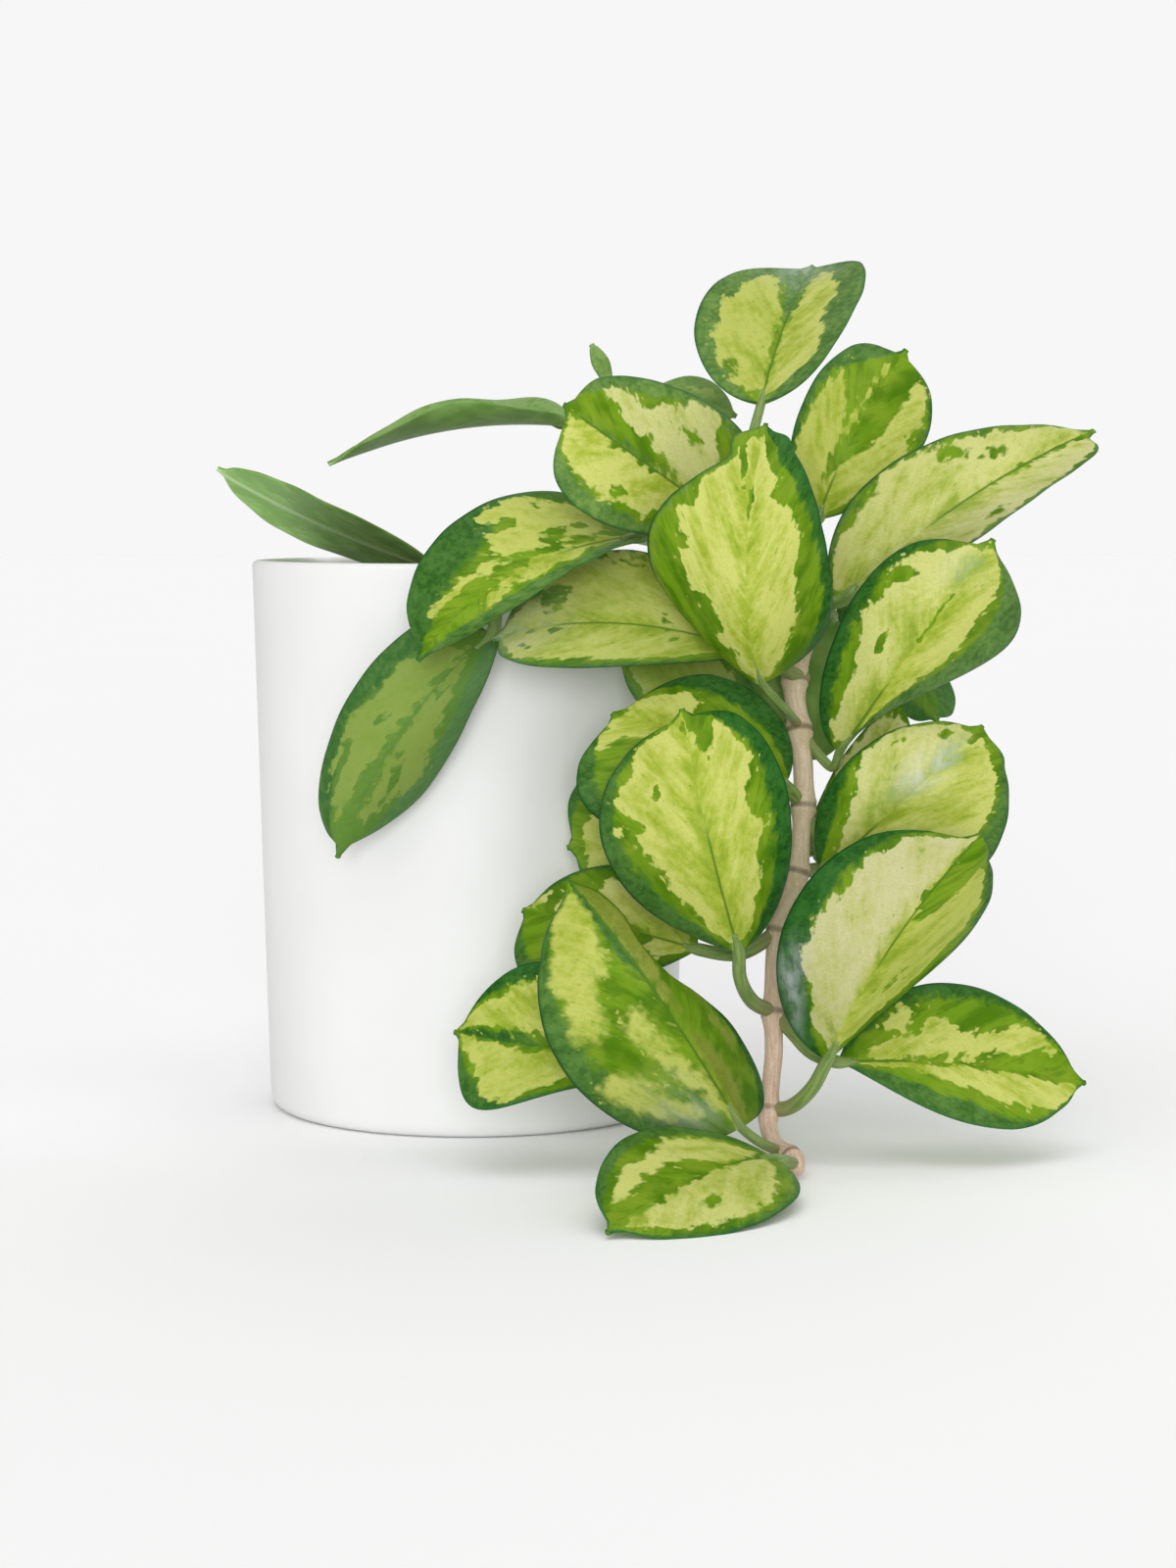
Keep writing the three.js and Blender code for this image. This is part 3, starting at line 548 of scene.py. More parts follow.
add_leaf(
    "leaf_back_rim", stalk=[(18, 14, 148)],
    base=(23, 20, 151), mid=(38, 34, 158), tip=(56, 52, 152),
    left=(25, 48, 158), right=(51, 20, 158),
    cream=[BROAD],
)


# ================================================================ small helpers
def smooth(low, high, value):
    t = np.clip((value - low) / (high - low), 0, 1)
    return t * t * (3 - 2 * t)


def unit(v):
    return v / np.maximum(np.linalg.norm(v, axis=-1, keepdims=True), 1e-9)


def srgb(r, g, b):
    """A colour read in 0 to 255 as the linear colour that a shader takes."""
    out = []
    for value in (r, g, b):
        c = value / 255
        out.append(c / 12.92 if c <= 0.04045 else ((c + 0.055) / 1.055) ** 2.4)
    return (*out, 1.0)


def bands(rings, sides, start=0, turned=False):
    """The faces between rings of corners that follow one another."""
    faces = []
    for a in range(start, start + (rings - 1) * sides, sides):
        for k in range(sides):
            n = (k + 1) % sides
            face = (a + k, a + n, a + sides + n, a + sides + k)
            faces.append((face[0], *face[:0:-1]) if turned else face)
    return faces


def tube(rings, sides):
    """The faces of a closed tube of rings, with a cap at each end."""
    last = (rings - 1) * sides
    caps = [tuple(range(sides))[::-1], tuple(range(last, last + sides))]
    return bands(rings, sides) + caps


def moved_on(faces, start):
    return [tuple(start + v for v in face) for face in faces]


def add_mesh(name, corners, faces, materials, skins=None):
    """A smooth mesh from places in millimetres. skins says which material each face has."""
    mesh = bpy.data.meshes.new(name)
    mesh.from_pydata([tuple(c) for c in np.asarray(corners) * MM], [], faces)
    for material in materials:
        mesh.materials.append(material)
    mesh.polygons.foreach_set("use_smooth", [True] * len(faces))
    if skins is not None:
        mesh.polygons.foreach_set("material_index", skins)
    mesh.update()
    made = bpy.data.objects.new(name, mesh)
    bpy.context.scene.collection.objects.link(made)
    return made


def add_values(mesh, name, values):
    """What a material reads at each corner: numbers, or vectors where each has three."""
    values = np.asarray(values, np.float32)
    kind, field = ("FLOAT_VECTOR", "vector") if values.ndim == 2 else ("FLOAT", "value")
    mesh.attributes.new(name, kind, "POINT").data.foreach_set(field, values.ravel())


def add_joined(mesh, *parts):
    """The values of a mesh's parts in turn, each with its count, and 0 where a part has none."""
    for key in sorted({key for _, values in parts for key in values}):
        joined = [np.ravel(values.get(key, np.zeros(count))) for count, values in parts]
        add_values(mesh, key, np.concatenate(joined))


# ================================================================ curves and bars
def catmull(points, count):
    """count places, equally spaced, on the centripetal curve through the points."""
    p = np.asarray(points, float)
    p = np.vstack([2 * p[0] - p[1], p, 2 * p[-1] - p[-2]])
    fine = []
    for a, b, c, d in zip(p, p[1:], p[2:], p[3:]):
        d0, d1, d2 = (max(np.linalg.norm(y - x) ** 0.5, 1e-4) for x, y in ((a, b), (b, c), (c, d)))
        t1 = ((b - a) / d0 - (c - a) / (d0 + d1) + (c - b) / d1) * d1
        t2 = ((c - b) / d1 - (d - b) / (d1 + d2) + (d - c) / d2) * d1
        t = np.linspace(0, 1, 60, endpoint=False)[:, None]
        square, cube = 3 * (c - b) - 2 * t1 - t2, 2 * (b - c) + t1 + t2
        fine.append(b + t1 * t + square * t**2 + cube * t**3)
    fine.append(p[-2][None])
    fine = np.vstack(fine)
    run = np.concatenate([[0], np.cumsum(np.linalg.norm(np.diff(fine, axis=0), axis=1))])
    wanted = np.linspace(0, run[-1], count)
    return np.stack([np.interp(wanted, run, fine[:, k]) for k in range(3)], 1), run[-1]


def ways_across(centres):
    """Two directions across a curve, at right angles, that don't twist along it."""
    along = unit(np.gradient(centres, axis=0))
    side = [unit(np.cross(along[0], (0.31, 0.2, 0.93)))]
    for t in along[1:]:
        side.append(unit(side[-1] - t * np.dot(side[-1], t)))
    side = np.array(side)
    return side, np.cross(along, side)


def bar(centres, radii, sides, bump=0):
    """Corners and faces of a closed round bar. bump is added to the radius at each corner."""
    first, second = (way[:, None] for way in ways_across(centres))
    angle = np.linspace(0, 2 * np.pi, sides, endpoint=False)[None, :, None]
    reach = np.repeat(radii[:, None], sides, 1) + bump
    ring = first * np.cos(angle) + second * np.sin(angle)
    corners = (centres[:, None] + ring * reach[..., None]).reshape(-1, 3)
    return corners, tube(len(centres), sides)


# ================================================================ leaf form
def half_width(s, widest, blunt, waist=0.0):
    """Half the width of a blade, as a share of its widest place."""
    rise = blunt * widest / (1 - widest)
    b = np.clip(s / TIP_START, 1e-6, 1)
    body = (b / widest) ** rise * (np.maximum(1 - b, 0) / (1 - widest)) ** blunt
    body = np.where((s > 0) & (s < TIP_START), body, 0)
    tip = TIP_SLOPE * (1 - s) * smooth(0.8, 0.94, s)
    drawn_in = waist * np.exp(-(((s - WAIST_AT) / WAIST_LENGTH) ** 2))
    return np.cbrt(body**3 + tip**3) * (1 - drawn_in)


def depth_in(x, y, corners):
    """How far inside a polygon each place is, or minus how far outside."""
    nearest = np.full(x.shape, 1e9)
    inside = np.zeros(x.shape, bool)
    for (x1, y1), (x2, y2) in zip(corners, corners[1:] + corners[:1]):
        dx, dy = x2 - x1, y2 - y1
        t = np.clip(((x - x1) * dx + (y - y1) * dy) / max(dx * dx + dy * dy, 1e-9), 0, 1)
        nearest = np.minimum(nearest, np.hypot(x - x1 - t * dx, y - y1 - t * dy))
        crosses = (y1 > y) != (y2 > y)
        inside ^= crosses & (x < x1 + (y - y1) * dx / (dy if dy else 1e-9))
    return np.where(inside, nearest, -nearest)


def halves(value, right_share):
    """A leaf's value at each corner, from one number or from one for each side of the midrib."""
    left, right = value if isinstance(value, tuple) else (value, value)
    return left + (right - left) * right_share


def blade(leaf, seed, rows=BLADE_ROWS, columns=BLADE_COLUMNS):
    """The blade as one closed skin of rings, with what its material reads at each corner."""
    base, mid, tip = (np.array(leaf[k], float) for k in ("base", "mid", "tip"))
    bend = 2 * mid - (base + tip) / 2

    def rib(s):
        s = np.asarray(s)[..., None]
        return (1 - s) ** 2 * base + 2 * s * (1 - s) * bend + s * s * tip

    def rib_way(s):
        s = np.asarray(s)[..., None]
        return unit(2 * (1 - s) * (bend - base) + 2 * s * (tip - bend))

    left = np.array(leaf["left"], float) - rib(leaf["left_shape"][0])
    right = np.array(leaf["right"], float) - rib(leaf["right_shape"][0])
    length = np.linalg.norm(np.diff(rib(np.linspace(0, 1, 40)), axis=0), axis=1).sum()
    width = (np.linalg.norm(left) + np.linalg.norm(right)) / 2

    # rings of corners from base to tip: s along, q across, and which face each corner is on
    s = 0.5 - 0.5 * np.cos(np.pi * np.linspace(0, 1, rows + 1))
    across = np.sin(np.linspace(-np.pi / 2, np.pi / 2, columns + 1))
    across = CROWDING * across + (1 - CROWDING) * np.linspace(-1, 1, columns + 1)
    q = np.concatenate([across, across[-2:0:-1]])
    face = np.concatenate([np.ones(columns + 1), -np.ones(columns - 1)])
    face[0] = face[columns] = 0
    S, Q = np.meshgrid(s, q, indexing="ij")
    F = np.broadcast_to(face, S.shape)

    ends = BLADE_END / max(np.linalg.norm(left), np.linalg.norm(right))
    a = left * np.maximum(ends, half_width(S, *leaf["left_shape"]))[..., None]
    b = right * np.maximum(ends, half_width(S, *leaf["right_shape"]))[..., None]
    out, rise = (b - a) / 2, (b + a) / 2
    size = np.abs(Q)
    normal = unit(np.cross(out + rise * (1.5 * np.sqrt(size) * np.sign(Q))[..., None], rib_way(S)))
    half_span = np.linalg.norm(np.where(Q[..., None] < 0, a, b), axis=-1)
    beside = size * half_span  # mm from the midrib

    # the blade's relief, in mm, and its thickness
    phase = np.random.default_rng(seed).uniform(0, FULL_TURN, 4)
    belly = np.sin(np.pi * S)
    turn = 2 * np.pi * leaf["waves"] * S + np.where(Q > 0, 1.3, 3.1)
    ripple = leaf["wave"] * size**3 * belly * np.sin(turn)
    turn = 9 * S + phase[0] + 2 * np.sign(Q) + phase[1]
    ripple += EDGE_RIPPLE * size**2 * belly * np.sin(turn)
    turn = (S * length - VEIN_SLANT * beside) / VEIN_SPACING + phase[2]
    swell = VEIN_SWELL * np.sin(turn) * smooth(0.1, 0.3, size)
    swell *= np.sin(np.pi * np.clip(S, 0, 1)) ** 0.5
    groove = RIB_GROOVE * np.exp(-((beside / GROOVE_WIDTH) ** 2))
    groove = groove * smooth(0.0, 0.05, S) * (1 - smooth(0.8, 0.98, S))
    thick = BLADE_MIDDLE / 2 * np.sqrt(np.clip(1 - size**10, 0, 1))
    thick = thick * (1 - BLADE_THINNING * size**2)
    thick = np.maximum(thick, np.where(F == 0, 0.0, BLADE_LEAST))
    lift = ripple + swell - groove + F * thick
    corners = rib(S) + out * Q[..., None] + rise * (size**1.5)[..., None] + normal * lift[..., None]

    # the pattern, as millimetres inside each of its fields
    def depth(shape):
        outline = [(u / 100 * width, v / 100 * length) for u, v in shape]
        return depth_in(Q * width, S * length, outline)

    def away(u, v, wide, long):
        return np.hypot((Q - u) / wide, (S - v) / long)

    cream = np.full(S.shape, -FAR)
    for shape in leaf["cream"]:
        cream = np.maximum(cream, depth(shape))
    for *spot, wide, long in np.array(leaf["marks"]) / 100:
        outside = (away(*spot, wide, long) - 1) * min(wide * width, long * length)
        cream = np.minimum(cream, outside)
    for shape in leaf["cuts"]:
        cream = np.minimum(cream, -SHARP * depth(shape))
    low, high = (np.interp(S, STATIONS, side) for side in np.array(leaf["dark"]) / 100)
    dark = np.maximum(low - Q, Q - high) * width
    for shape in leaf["flames"]:
        dark = np.maximum(dark, SHARP * depth(shape))
    sheen = np.zeros(S.shape)
    for *spot, most in np.array(leaf["sheen"]) / 100:
        sheen = np.maximum(sheen, most * (1 - smooth(0, 1, away(*spot))))
    right_share = smooth(-HALF_BLEND, HALF_BLEND, Q)
    first, last = (share / 100 for share in leaf["rib"])
    shown = smooth(first - 0.06, first + 0.06, S) * (1 - smooth(last - 0.1, last + 0.02, S))
    values = {key: halves(leaf[key], right_share)
              for key in ("pale", "haze", "shade", "soft", "olive", "green")}
    values |= {
        "cream": np.clip(cream, -FAR, FAR),
        "dark": np.clip(dark, -FAR, FAR),
        "edge": np.minimum((1 - size) * half_span, (1 - S) * length + 0.3),
        "beside": beside,
        "share": S,
        "under": F < 0,
        "sheen": sheen,
        "rib": shown,
    }
    places = np.stack([S * length, Q * half_span, np.full(S.shape, seed * SEED_APART)], -1)
    faces = tube(rows + 1, len(q))
    return corners.reshape(-1, 3), faces, values, places.reshape(-1, 3), rib


def build_leaf(name, leaf, seed, materials):
    corners, faces, values, places, rib = blade(leaf, seed)
    path = [*leaf["stalk"], tuple(rib(0.0)), tuple(rib(0.08))]
    centres, _ = catmull(path, STALK_STEPS)
    share = np.linspace(0, 1, STALK_STEPS)
    radii = (STALK_BASE + (STALK_TOP - STALK_BASE) * share) * (1 - 0.5 * smooth(0.8, 1, share))
    stalk, stalk_faces = bar(centres, radii * leaf["slim"], STALK_SIDES)
    made = add_mesh(name, np.vstack([corners, stalk]), faces + moved_on(stalk_faces, len(corners)),
                    materials, [0] * len(faces) + [1] * len(stalk_faces))
    add_joined(made.data, (len(corners), values), (len(stalk), {}))
    along = np.repeat(share * 12, STALK_SIDES)
    turn = np.tile(np.linspace(0, 6, STALK_SIDES, endpoint=False), STALK_STEPS)
    stalk_places = np.stack([along, turn, np.full(len(stalk), seed)], 1)
    add_values(made.data, "place", np.vstack([places, stalk_places]))
    return made


# ================================================================ stems
def build_stem(name, stem, materials, young=None):
    """A stem with a knob and a ring at each node, and with the young leaf at its tip, if any."""
    foot = (*stem["through"][0][:2], stem["through"][0][2] - ROOT_DEPTH)
    count = stem["steps"]
    centres, run = catmull([foot, *stem["through"]], count)
    share = np.linspace(0, 1, count)
    nodes = np.array([stem["through"][k] for k in stem["nodes"]], float)
    nearest = np.linalg.norm(centres[:, None] - nodes[None], axis=-1).min(1)
    foot_radius, tip_radius = stem["radius"]
    radii = foot_radius + (tip_radius - foot_radius) * share
    radii = radii * (1 + NODE_SWELLING * np.exp(-((nearest / NODE_REACH) ** 2)))
    height, apart, wide = SCAR_RIDGE
    radii = radii + height * np.exp(-(((nearest - apart) / wide) ** 2))
    depth, wide = SCAR_GROOVE
    radii = radii - depth * np.exp(-((nearest / wide) ** 2))
    radii[-2:] *= TIP_ROUNDING
    turn = np.linspace(0, 2 * np.pi, STEM_SIDES, endpoint=False)
    phase = np.random.default_rng(len(name)).uniform(0, FULL_TURN, 6)
    place = share[:, None] * run
    grain = 0
    for k, cycles in enumerate((3, 5, 7)):
        grain = grain + BARK_GRAIN * np.sin(cycles * turn[None] + phase[k] + place * 0.05 * (k - 1))
    grain = grain + BARK_LUMPS * np.sin(place * 0.9 + 2 * np.sin(turn[None] + phase[3]))
    corners, faces = bar(centres, radii, STEM_SIDES, grain)
    places = np.stack([np.repeat(share * run, STEM_SIDES), np.tile(np.cos(turn) * 3, count),
                       np.tile(np.sin(turn) * 3, count)], 1)
    values = {"node": np.repeat(nearest, STEM_SIDES), "share": np.repeat(share, STEM_SIDES)}
    skins = [0] * len(faces)
    parts = [(len(corners), values)]
    if young:
        more, more_faces, more_values, more_places, _ = blade(young, YOUNG_SEED, *YOUNG_GRID)
        faces = faces + moved_on(more_faces, len(corners))
        corners = np.vstack([corners, more])
        places = np.vstack([places, more_places])
        skins += [1] * len(more_faces)
        parts.append((len(more), more_values))
    made = add_mesh(name, corners, faces, materials, skins)
    add_joined(made.data, *parts)
    add_values(made.data, "place", places)
    return made


# ================================================================ pot and soil
def outside_radius(height):
    return FOOT_RADIUS + (RIM_RADIUS - FOOT_RADIUS) * height / POT_HEIGHT


def inside_radius(height):
    return outside_radius(height) - WALL


def arc(cx, cz, radius, start, end, steps):
    turn = np.radians(np.linspace(start, end, steps))
    return [(cx + radius * math.cos(t), cz + radius * math.sin(t)) for t in turn]


def circle(radius, height, turn):
    return [(radius * math.cos(t), radius * math.sin(t), height) for t in turn]


def lathe(profile, sides):
    """A closed skin turned about the pot's axis. The profile starts and ends on the axis."""
    turn = np.linspace(0, 2 * np.pi, sides, endpoint=False)
    (_, bottom), *middle, (_, top) = profile
    corners = [(0, 0, bottom)]
    for radius, height in middle:
        corners += circle(radius, height, turn)
    corners.append((0, 0, top))
    a = 1 + (len(middle) - 1) * sides
    faces = [(0, 1 + (k + 1) % sides, 1 + k) for k in range(sides)]
    faces += bands(len(middle), sides, 1)
    faces += [(a + k, a + (k + 1) % sides, len(corners) - 1) for k in range(sides)]
    return corners, faces


def build_pot(material):
    edge, rim = FOOT_ROUNDING, RIM_ROUNDING
    inner = RIM_RADIUS - WALL
    profile = [(0, 0), (20, 0), (FOOT_RADIUS - edge - 0.5, 0)]
    profile += arc(FOOT_RADIUS - edge, edge, edge, -90, 0, 9)
    profile += [(outside_radius(h), h) for h in (8, 40, 80, 120, 145)]
    profile += arc(RIM_RADIUS - rim, POT_HEIGHT - rim, rim, 0, 90, 7)
    profile += arc(inner + rim, POT_HEIGHT - rim, rim, 90, 180, 7)
    profile += [(inside_radius(h), h) for h in (140, 80, 14)]
    profile += [(inside_radius(9) - 1.2, 8.2), (inside_radius(6) - 4, POT_FLOOR), (0, POT_FLOOR)]
    return add_mesh("pot_body", *lathe(profile, POT_SIDES), [material])


def soil_height(x, y, phase):
    h = 0
    for k, (fx, fy, size) in enumerate(SOIL_WAVES):
        wave = np.sin(fx * x + fy * y + phase[k])
        h = h + size * wave * np.cos(fy * x * 1.3 - fx * y + phase[k + len(SOIL_WAVES)])
    return h


def lump(rng, centre, size):
    """A small rough crumb: a cube's corners and face centres pushed out unevenly."""
    ways = [(x, y, z) for x in (-1, 0, 1) for y in (-1, 0, 1) for z in (-1, 0, 1)
            if abs(x) + abs(y) + abs(z) in (1, 3)]
    order = {way: i for i, way in enumerate(ways)}
    ways = np.array(ways, float)
    spots = unit(ways) * size * rng.uniform(0.75, 1.15, (len(ways), 1))
    spots = spots * rng.uniform(0.6, 1.1, (1, 3))
    turn = Matrix.Rotation(rng.uniform(0, FULL_TURN), 3, Vector(rng.normal(size=3)))
    faces = []
    for axis in range(3):
        for sign in (-1, 1):
            # the way (a, b, c) is a along the axis, and b and c along the next two
            middle, *ring = (order[(*way[3 - axis:], *way[:3 - axis])] for way in (
                (sign, 0, 0), (sign, -1, -1), (sign, 1, -1), (sign, 1, 1), (sign, -1, 1)))
            if sign < 0:
                ring.reverse()
            faces += [(middle, ring[k], ring[(k + 1) % 4]) for k in range(4)]
    return spots @ np.array(turn) + centre, faces


def build_soil(materials):
    """The soil's uneven top, its hidden sides and bottom, and the crumbs sunk in the top."""
    rng = np.random.default_rng(12)
    phase = rng.uniform(0, FULL_TURN, 2 * len(SOIL_WAVES))
    reach = inside_radius(SOIL_TOP) - SOIL_GAP
    turn = np.linspace(0, 2 * np.pi, SOIL_SIDES, endpoint=False)
    corners = [(0, 0, SOIL_TOP + float(soil_height(0, 0, phase)))]
    for r in np.linspace(0, 1, SOIL_RINGS + 1)[1:] ** 0.8 * reach:
        x, y = r * np.cos(turn), r * np.sin(turn)
        z = SOIL_TOP + soil_height(x, y, phase) - SOIL_ROLLOFF * smooth(0.9, 1, r / reach)
        corners += list(zip(x, y, z))
    for height, inset in ((POT_FLOOR + 8, 0.3), (POT_FLOOR + 0.4, 6)):
        corners += circle(inside_radius(height) - inset - 0.3, height, turn)
    faces = [(0, 1 + k, 1 + (k + 1) % SOIL_SIDES) for k in range(SOIL_SIDES)]
    faces += bands(SOIL_RINGS + 2, SOIL_SIDES, 1, turned=True)
    faces.append(tuple(range(len(corners) - SOIL_SIDES, len(corners)))[::-1])
    skins = [0] * len(faces)
    for _ in range(CRUMBS):
        r = reach * 0.95 * math.sqrt(rng.uniform())
        t = rng.uniform(0, FULL_TURN)
        big = rng.uniform() >= 1 - BIG_CRUMBS
        size = rng.uniform(*(BIG_CRUMB if big else SMALL_CRUMB))
        x, y = r * math.cos(t), r * math.sin(t)
        z = SOIL_TOP + float(soil_height(x, y, phase)) + size * 0.2
        spots, more = lump(rng, (x, y, z), size)
        faces += moved_on(more, len(corners))
        corners += [tuple(s) for s in spots]
        kind = 1 if rng.uniform() < PERLITE else 2 if rng.uniform() < BARK_CHIPS else 0
        skins += [kind] * len(more)
    return add_mesh("soil_bed", corners, faces, materials, skins)


# ================================================================ materials
class Value:
    """A node's output, which can be added, subtracted and multiplied."""

    def __init__(self, nodes, socket):
        self.nodes, self.socket = nodes, socket

    def __add__(self, other):
        return self.nodes.math("ADD", self, other)

    def __sub__(self, other):
        return self.nodes.math("SUBTRACT", self, other)

    def __rsub__(self, other):
        return self.nodes.math("SUBTRACT", other, self)

    def __mul__(self, other):
        return self.nodes.math("MULTIPLY", self, other)


class Nodes:
    """Short calls for building one material's nodes. Three whole numbers are an sRGB colour."""

    def __init__(self, name):
        self.material = bpy.data.materials.new(name)
        self.material.use_nodes = True
        self.tree = self.material.node_tree
        self.tree.nodes.clear()
        self.shader = self.node("ShaderNodeBsdfPrincipled")
        output = self.node("ShaderNodeOutputMaterial")
        self.tree.links.new(self.shader.outputs[0], output.inputs[0])

    def node(self, kind, **settings):
        node = self.tree.nodes.new(kind)
        for key, value in settings.items():
            setattr(node, key, value)
        return node

    def put(self, socket, value):
        if isinstance(value, Value):
            self.tree.links.new(value.socket, socket)
        elif isinstance(value, tuple):
            socket.default_value = srgb(*value)
        else:
            socket.default_value = value

    def put_all(self, node, *values):
        for socket, value in zip(node.inputs, values):
            self.put(socket, value)
        return Value(self, node.outputs[0])

    def value(self, name):
        return Value(self, self.node("ShaderNodeAttribute", attribute_name=name).outputs["Fac"])

    def vector(self, name):
        return Value(self, self.node("ShaderNodeAttribute", attribute_name=name).outputs["Vector"])

    def object_place(self):
        return Value(self, self.node("ShaderNodeTexCoord").outputs["Object"])

    def math(self, operation, *values):
        return self.put_all(self.node("ShaderNodeMath", operation=operation), *values)

    def scale(self, vector, factors):
        node = self.node("ShaderNodeVectorMath", operation="MULTIPLY")
        node.inputs[1].default_value = factors
        return self.put_all(node, vector)

    def combine(self, x, y, z):
        return self.put_all(self.node("ShaderNodeCombineXYZ"), x, y, z)

    def split(self, vector):
        node = self.node("ShaderNodeSeparateXYZ")
        self.put(node.inputs[0], vector)
        return [Value(self, output) for output in node.outputs]

    def noise(self, vector, scale, detail, rough):
        node = self.node("ShaderNodeTexNoise")
        self.put(node.inputs["Vector"], vector)
        for key, value in (("Scale", scale), ("Detail", detail), ("Roughness", rough)):
            node.inputs[key].default_value = value
        return Value(self, node.outputs["Fac"])

    def step(self, value, low, high, out_low=0.0, out_high=1.0):
        node = self.node("ShaderNodeMapRange", interpolation_type="SMOOTHSTEP")
        return self.put_all(node, value, low, high, out_low, out_high)

    def mix(self, share, a, b):
        node = self.node("ShaderNodeMix", data_type="RGBA")  # its colours are inputs 6 and 7
        self.put(node.inputs[0], share)
        self.put(node.inputs[6], a)
        self.put(node.inputs[7], b)
        return Value(self, node.outputs[2])

    def coats(self, colour, *coats):
        """Each coat is a colour, what it follows, from where to where, and at most how much."""
        for coat, follows, low, high, *most in coats:
            colour = self.mix(self.step(follows, low, high, 0.0, *most), colour, coat)
        return colour

    def bump(self, height, strength, distance, under=None):
        node = self.node("ShaderNodeBump")
        node.inputs["Strength"].default_value = strength
        node.inputs["Distance"].default_value = distance
        self.put(node.inputs["Height"], height)
        if under:
            self.put(node.inputs["Normal"], under)
        return Value(self, node.outputs[0])

    def finish(self, **sockets):
        for key, value in sockets.items():
            self.put(self.shader.inputs[key.replace("_", " ")], value)
        return self.material


def leaf_material():
    n = Nodes("hoya_leaf_skin")
    place = n.vector("place")
    along, across, seed = n.split(place)
    off_rib, side = n.math("ABSOLUTE", across), n.math("SIGN", across)
    # places along and across the side veins, which run out and forwards from the midrib
    down, out = VEIN_WAY
    down_vein = along * down + off_rib * out
    over_vein = along * out - off_rib * down
    apart = seed + side * 5.0
    lobes = n.combine(down_vein * 0.62, over_vein, apart)
    veins = n.combine(down_vein * 0.3, over_vein, apart)
    fibres = n.combine(down_vein * 0.13, over_vein * 0.9, apart)

    streak = n.noise(fibres, 1.0, 3.0, 0.6)
    wisp = n.noise(veins, 0.35, 3.0, 0.6)
    wash = n.noise(veins, 0.16, 2.0, 0.5)
    mottle = n.noise(place, 0.5, 4.0, 0.65)
    cloud = n.noise(place, 0.12, 2.0, 0.5)
    grain = n.noise(place, 1.8, 3.0, 0.65)
    beside, under, green, pale, haze, soft = (
        n.value(name) for name in ("beside", "under", "green", "pale", "haze", "soft"))

    # the cream field's lobed and toothed edge, and small islands of cream beside it
    lobing = n.noise(lobes, 0.26, 2.0, 0.5) - 0.5
    teeth = n.noise(lobes, 0.5, 2.0, 0.45) - 0.5
    fine_teeth = n.noise(veins, 1.7, 2.0, 0.5) - 0.5
    cream_depth = n.value("cream") + (lobing * 5.0 + teeth * 5.4 + fine_teeth * 1.1)
    cream = n.step(cream_depth, -0.38 - soft, soft + 0.4)
    isles = n.step(n.noise(lobes, 0.6, 1.0, 0.4), 0.67, 0.74, 0.0, 0.85)
    cream = n.math("MAXIMUM", cream, isles * n.step(cream_depth, -3.2, -1.0))
    margin = (n.noise(lobes, 0.42, 3.0, 0.6) - 0.5) * 7.0 + (mottle - 0.5) * 3.0
    dark = n.step(n.value("dark") + margin, -1.5, 1.2)

    # cream, palest beside the green, with yellow-green fibres that gather along the midrib
    near_rib = n.step(beside, 0.4, 6.0, 1.0, 0.0)
    fibre = streak * 0.16 + wisp * 0.3 + mottle * 0.24 + wash * 0.4 + near_rib * 0.1
    fibre = fibre - n.step(cream_depth, 0.6, 4.5, 0.06, 0.0)
    # paleness sets the cream's own tone; on some leaves one side is also made paler or duller as
    # painted light
    light = n.coats((197, 201, 110), ((202, 200, 150), pale, 0.0, 1.0),
                    ((172, 180, 82), pale, 0.0, -1.0), ((118, 128, 48), pale, -1.0, -2.0))
    middle = n.coats((160, 175, 56), ((186, 188, 114), pale, 0.0, 1.0),
                     ((142, 160, 48), pale, 0.0, -1.0), ((100, 116, 30), pale, -1.0, -2.0))
    cream_tone = n.coats(light, (middle, fibre, 0.47, 0.66),
                         ((118, 146, 32), fibre, 0.6, 0.74, 0.75),
                         ((150, 172, 66), grain, 0.4, 0.7, 0.32))
    # short green flecks lie along the veins
    fleck = n.step(n.noise(veins, 0.95, 2.0, 0.5), 0.69, 0.75) * n.step(mottle, 0.42, 0.5)
    cream_tone = n.mix(fleck * 0.6, cream_tone, (104, 140, 22))

    green_tone = n.coats((76, 118, 6), ((108, 146, 22), wash, 0.38, 0.6),
                         ((124, 152, 36), cloud, 0.4, 0.66, 0.7),
                         ((60, 104, 8), streak, 0.5, 0.7, 0.35),
                         ((66, 108, 8), wisp, 0.52, 0.66, 0.5))
    dark_tone = n.coats((20, 76, 16), ((46, 100, 30), mottle, 0.38, 0.62),
                        ((54, 110, 46), cloud, 0.42, 0.7, 0.6),
                        ((70, 114, 54), grain, 0.5, 0.75, 0.35))
    # a painted grey sheen, lighter and greyer than the dark green, laid over the dark margins
    margin_sheen_tone = n.coats((88, 126, 56), ((118, 148, 74), mottle, 0.35, 0.65))
    dark_tone = n.mix(haze * n.step(cloud, 0.3, 0.6, 0.6, 1.0), dark_tone, margin_sheen_tone)
    colour = n.mix(cream, n.mix(dark, green_tone, dark_tone), cream_tone)

    # the margin's teal line, the midrib, and the pale place where the stalk joins
    rim = n.step(n.value("edge") + teeth * 1.4, 0.2, 1.3, 1.0, 0.0)
    colour = n.mix(rim * 0.55, colour, (32, 100, 48))
    rib = n.step(beside, 0.14, 0.5, 1.0, 0.0) * n.value("rib")
    colour = n.mix(rib * 0.8, colour, (74, 112, 28))
    foot = n.step(n.value("share"), 0.0, 0.1, 1.0, 0.0) * n.step(beside, 0.3, 1.6, 1.0, 0.0)
    colour = n.mix(foot * 0.7, colour, (204, 206, 142))

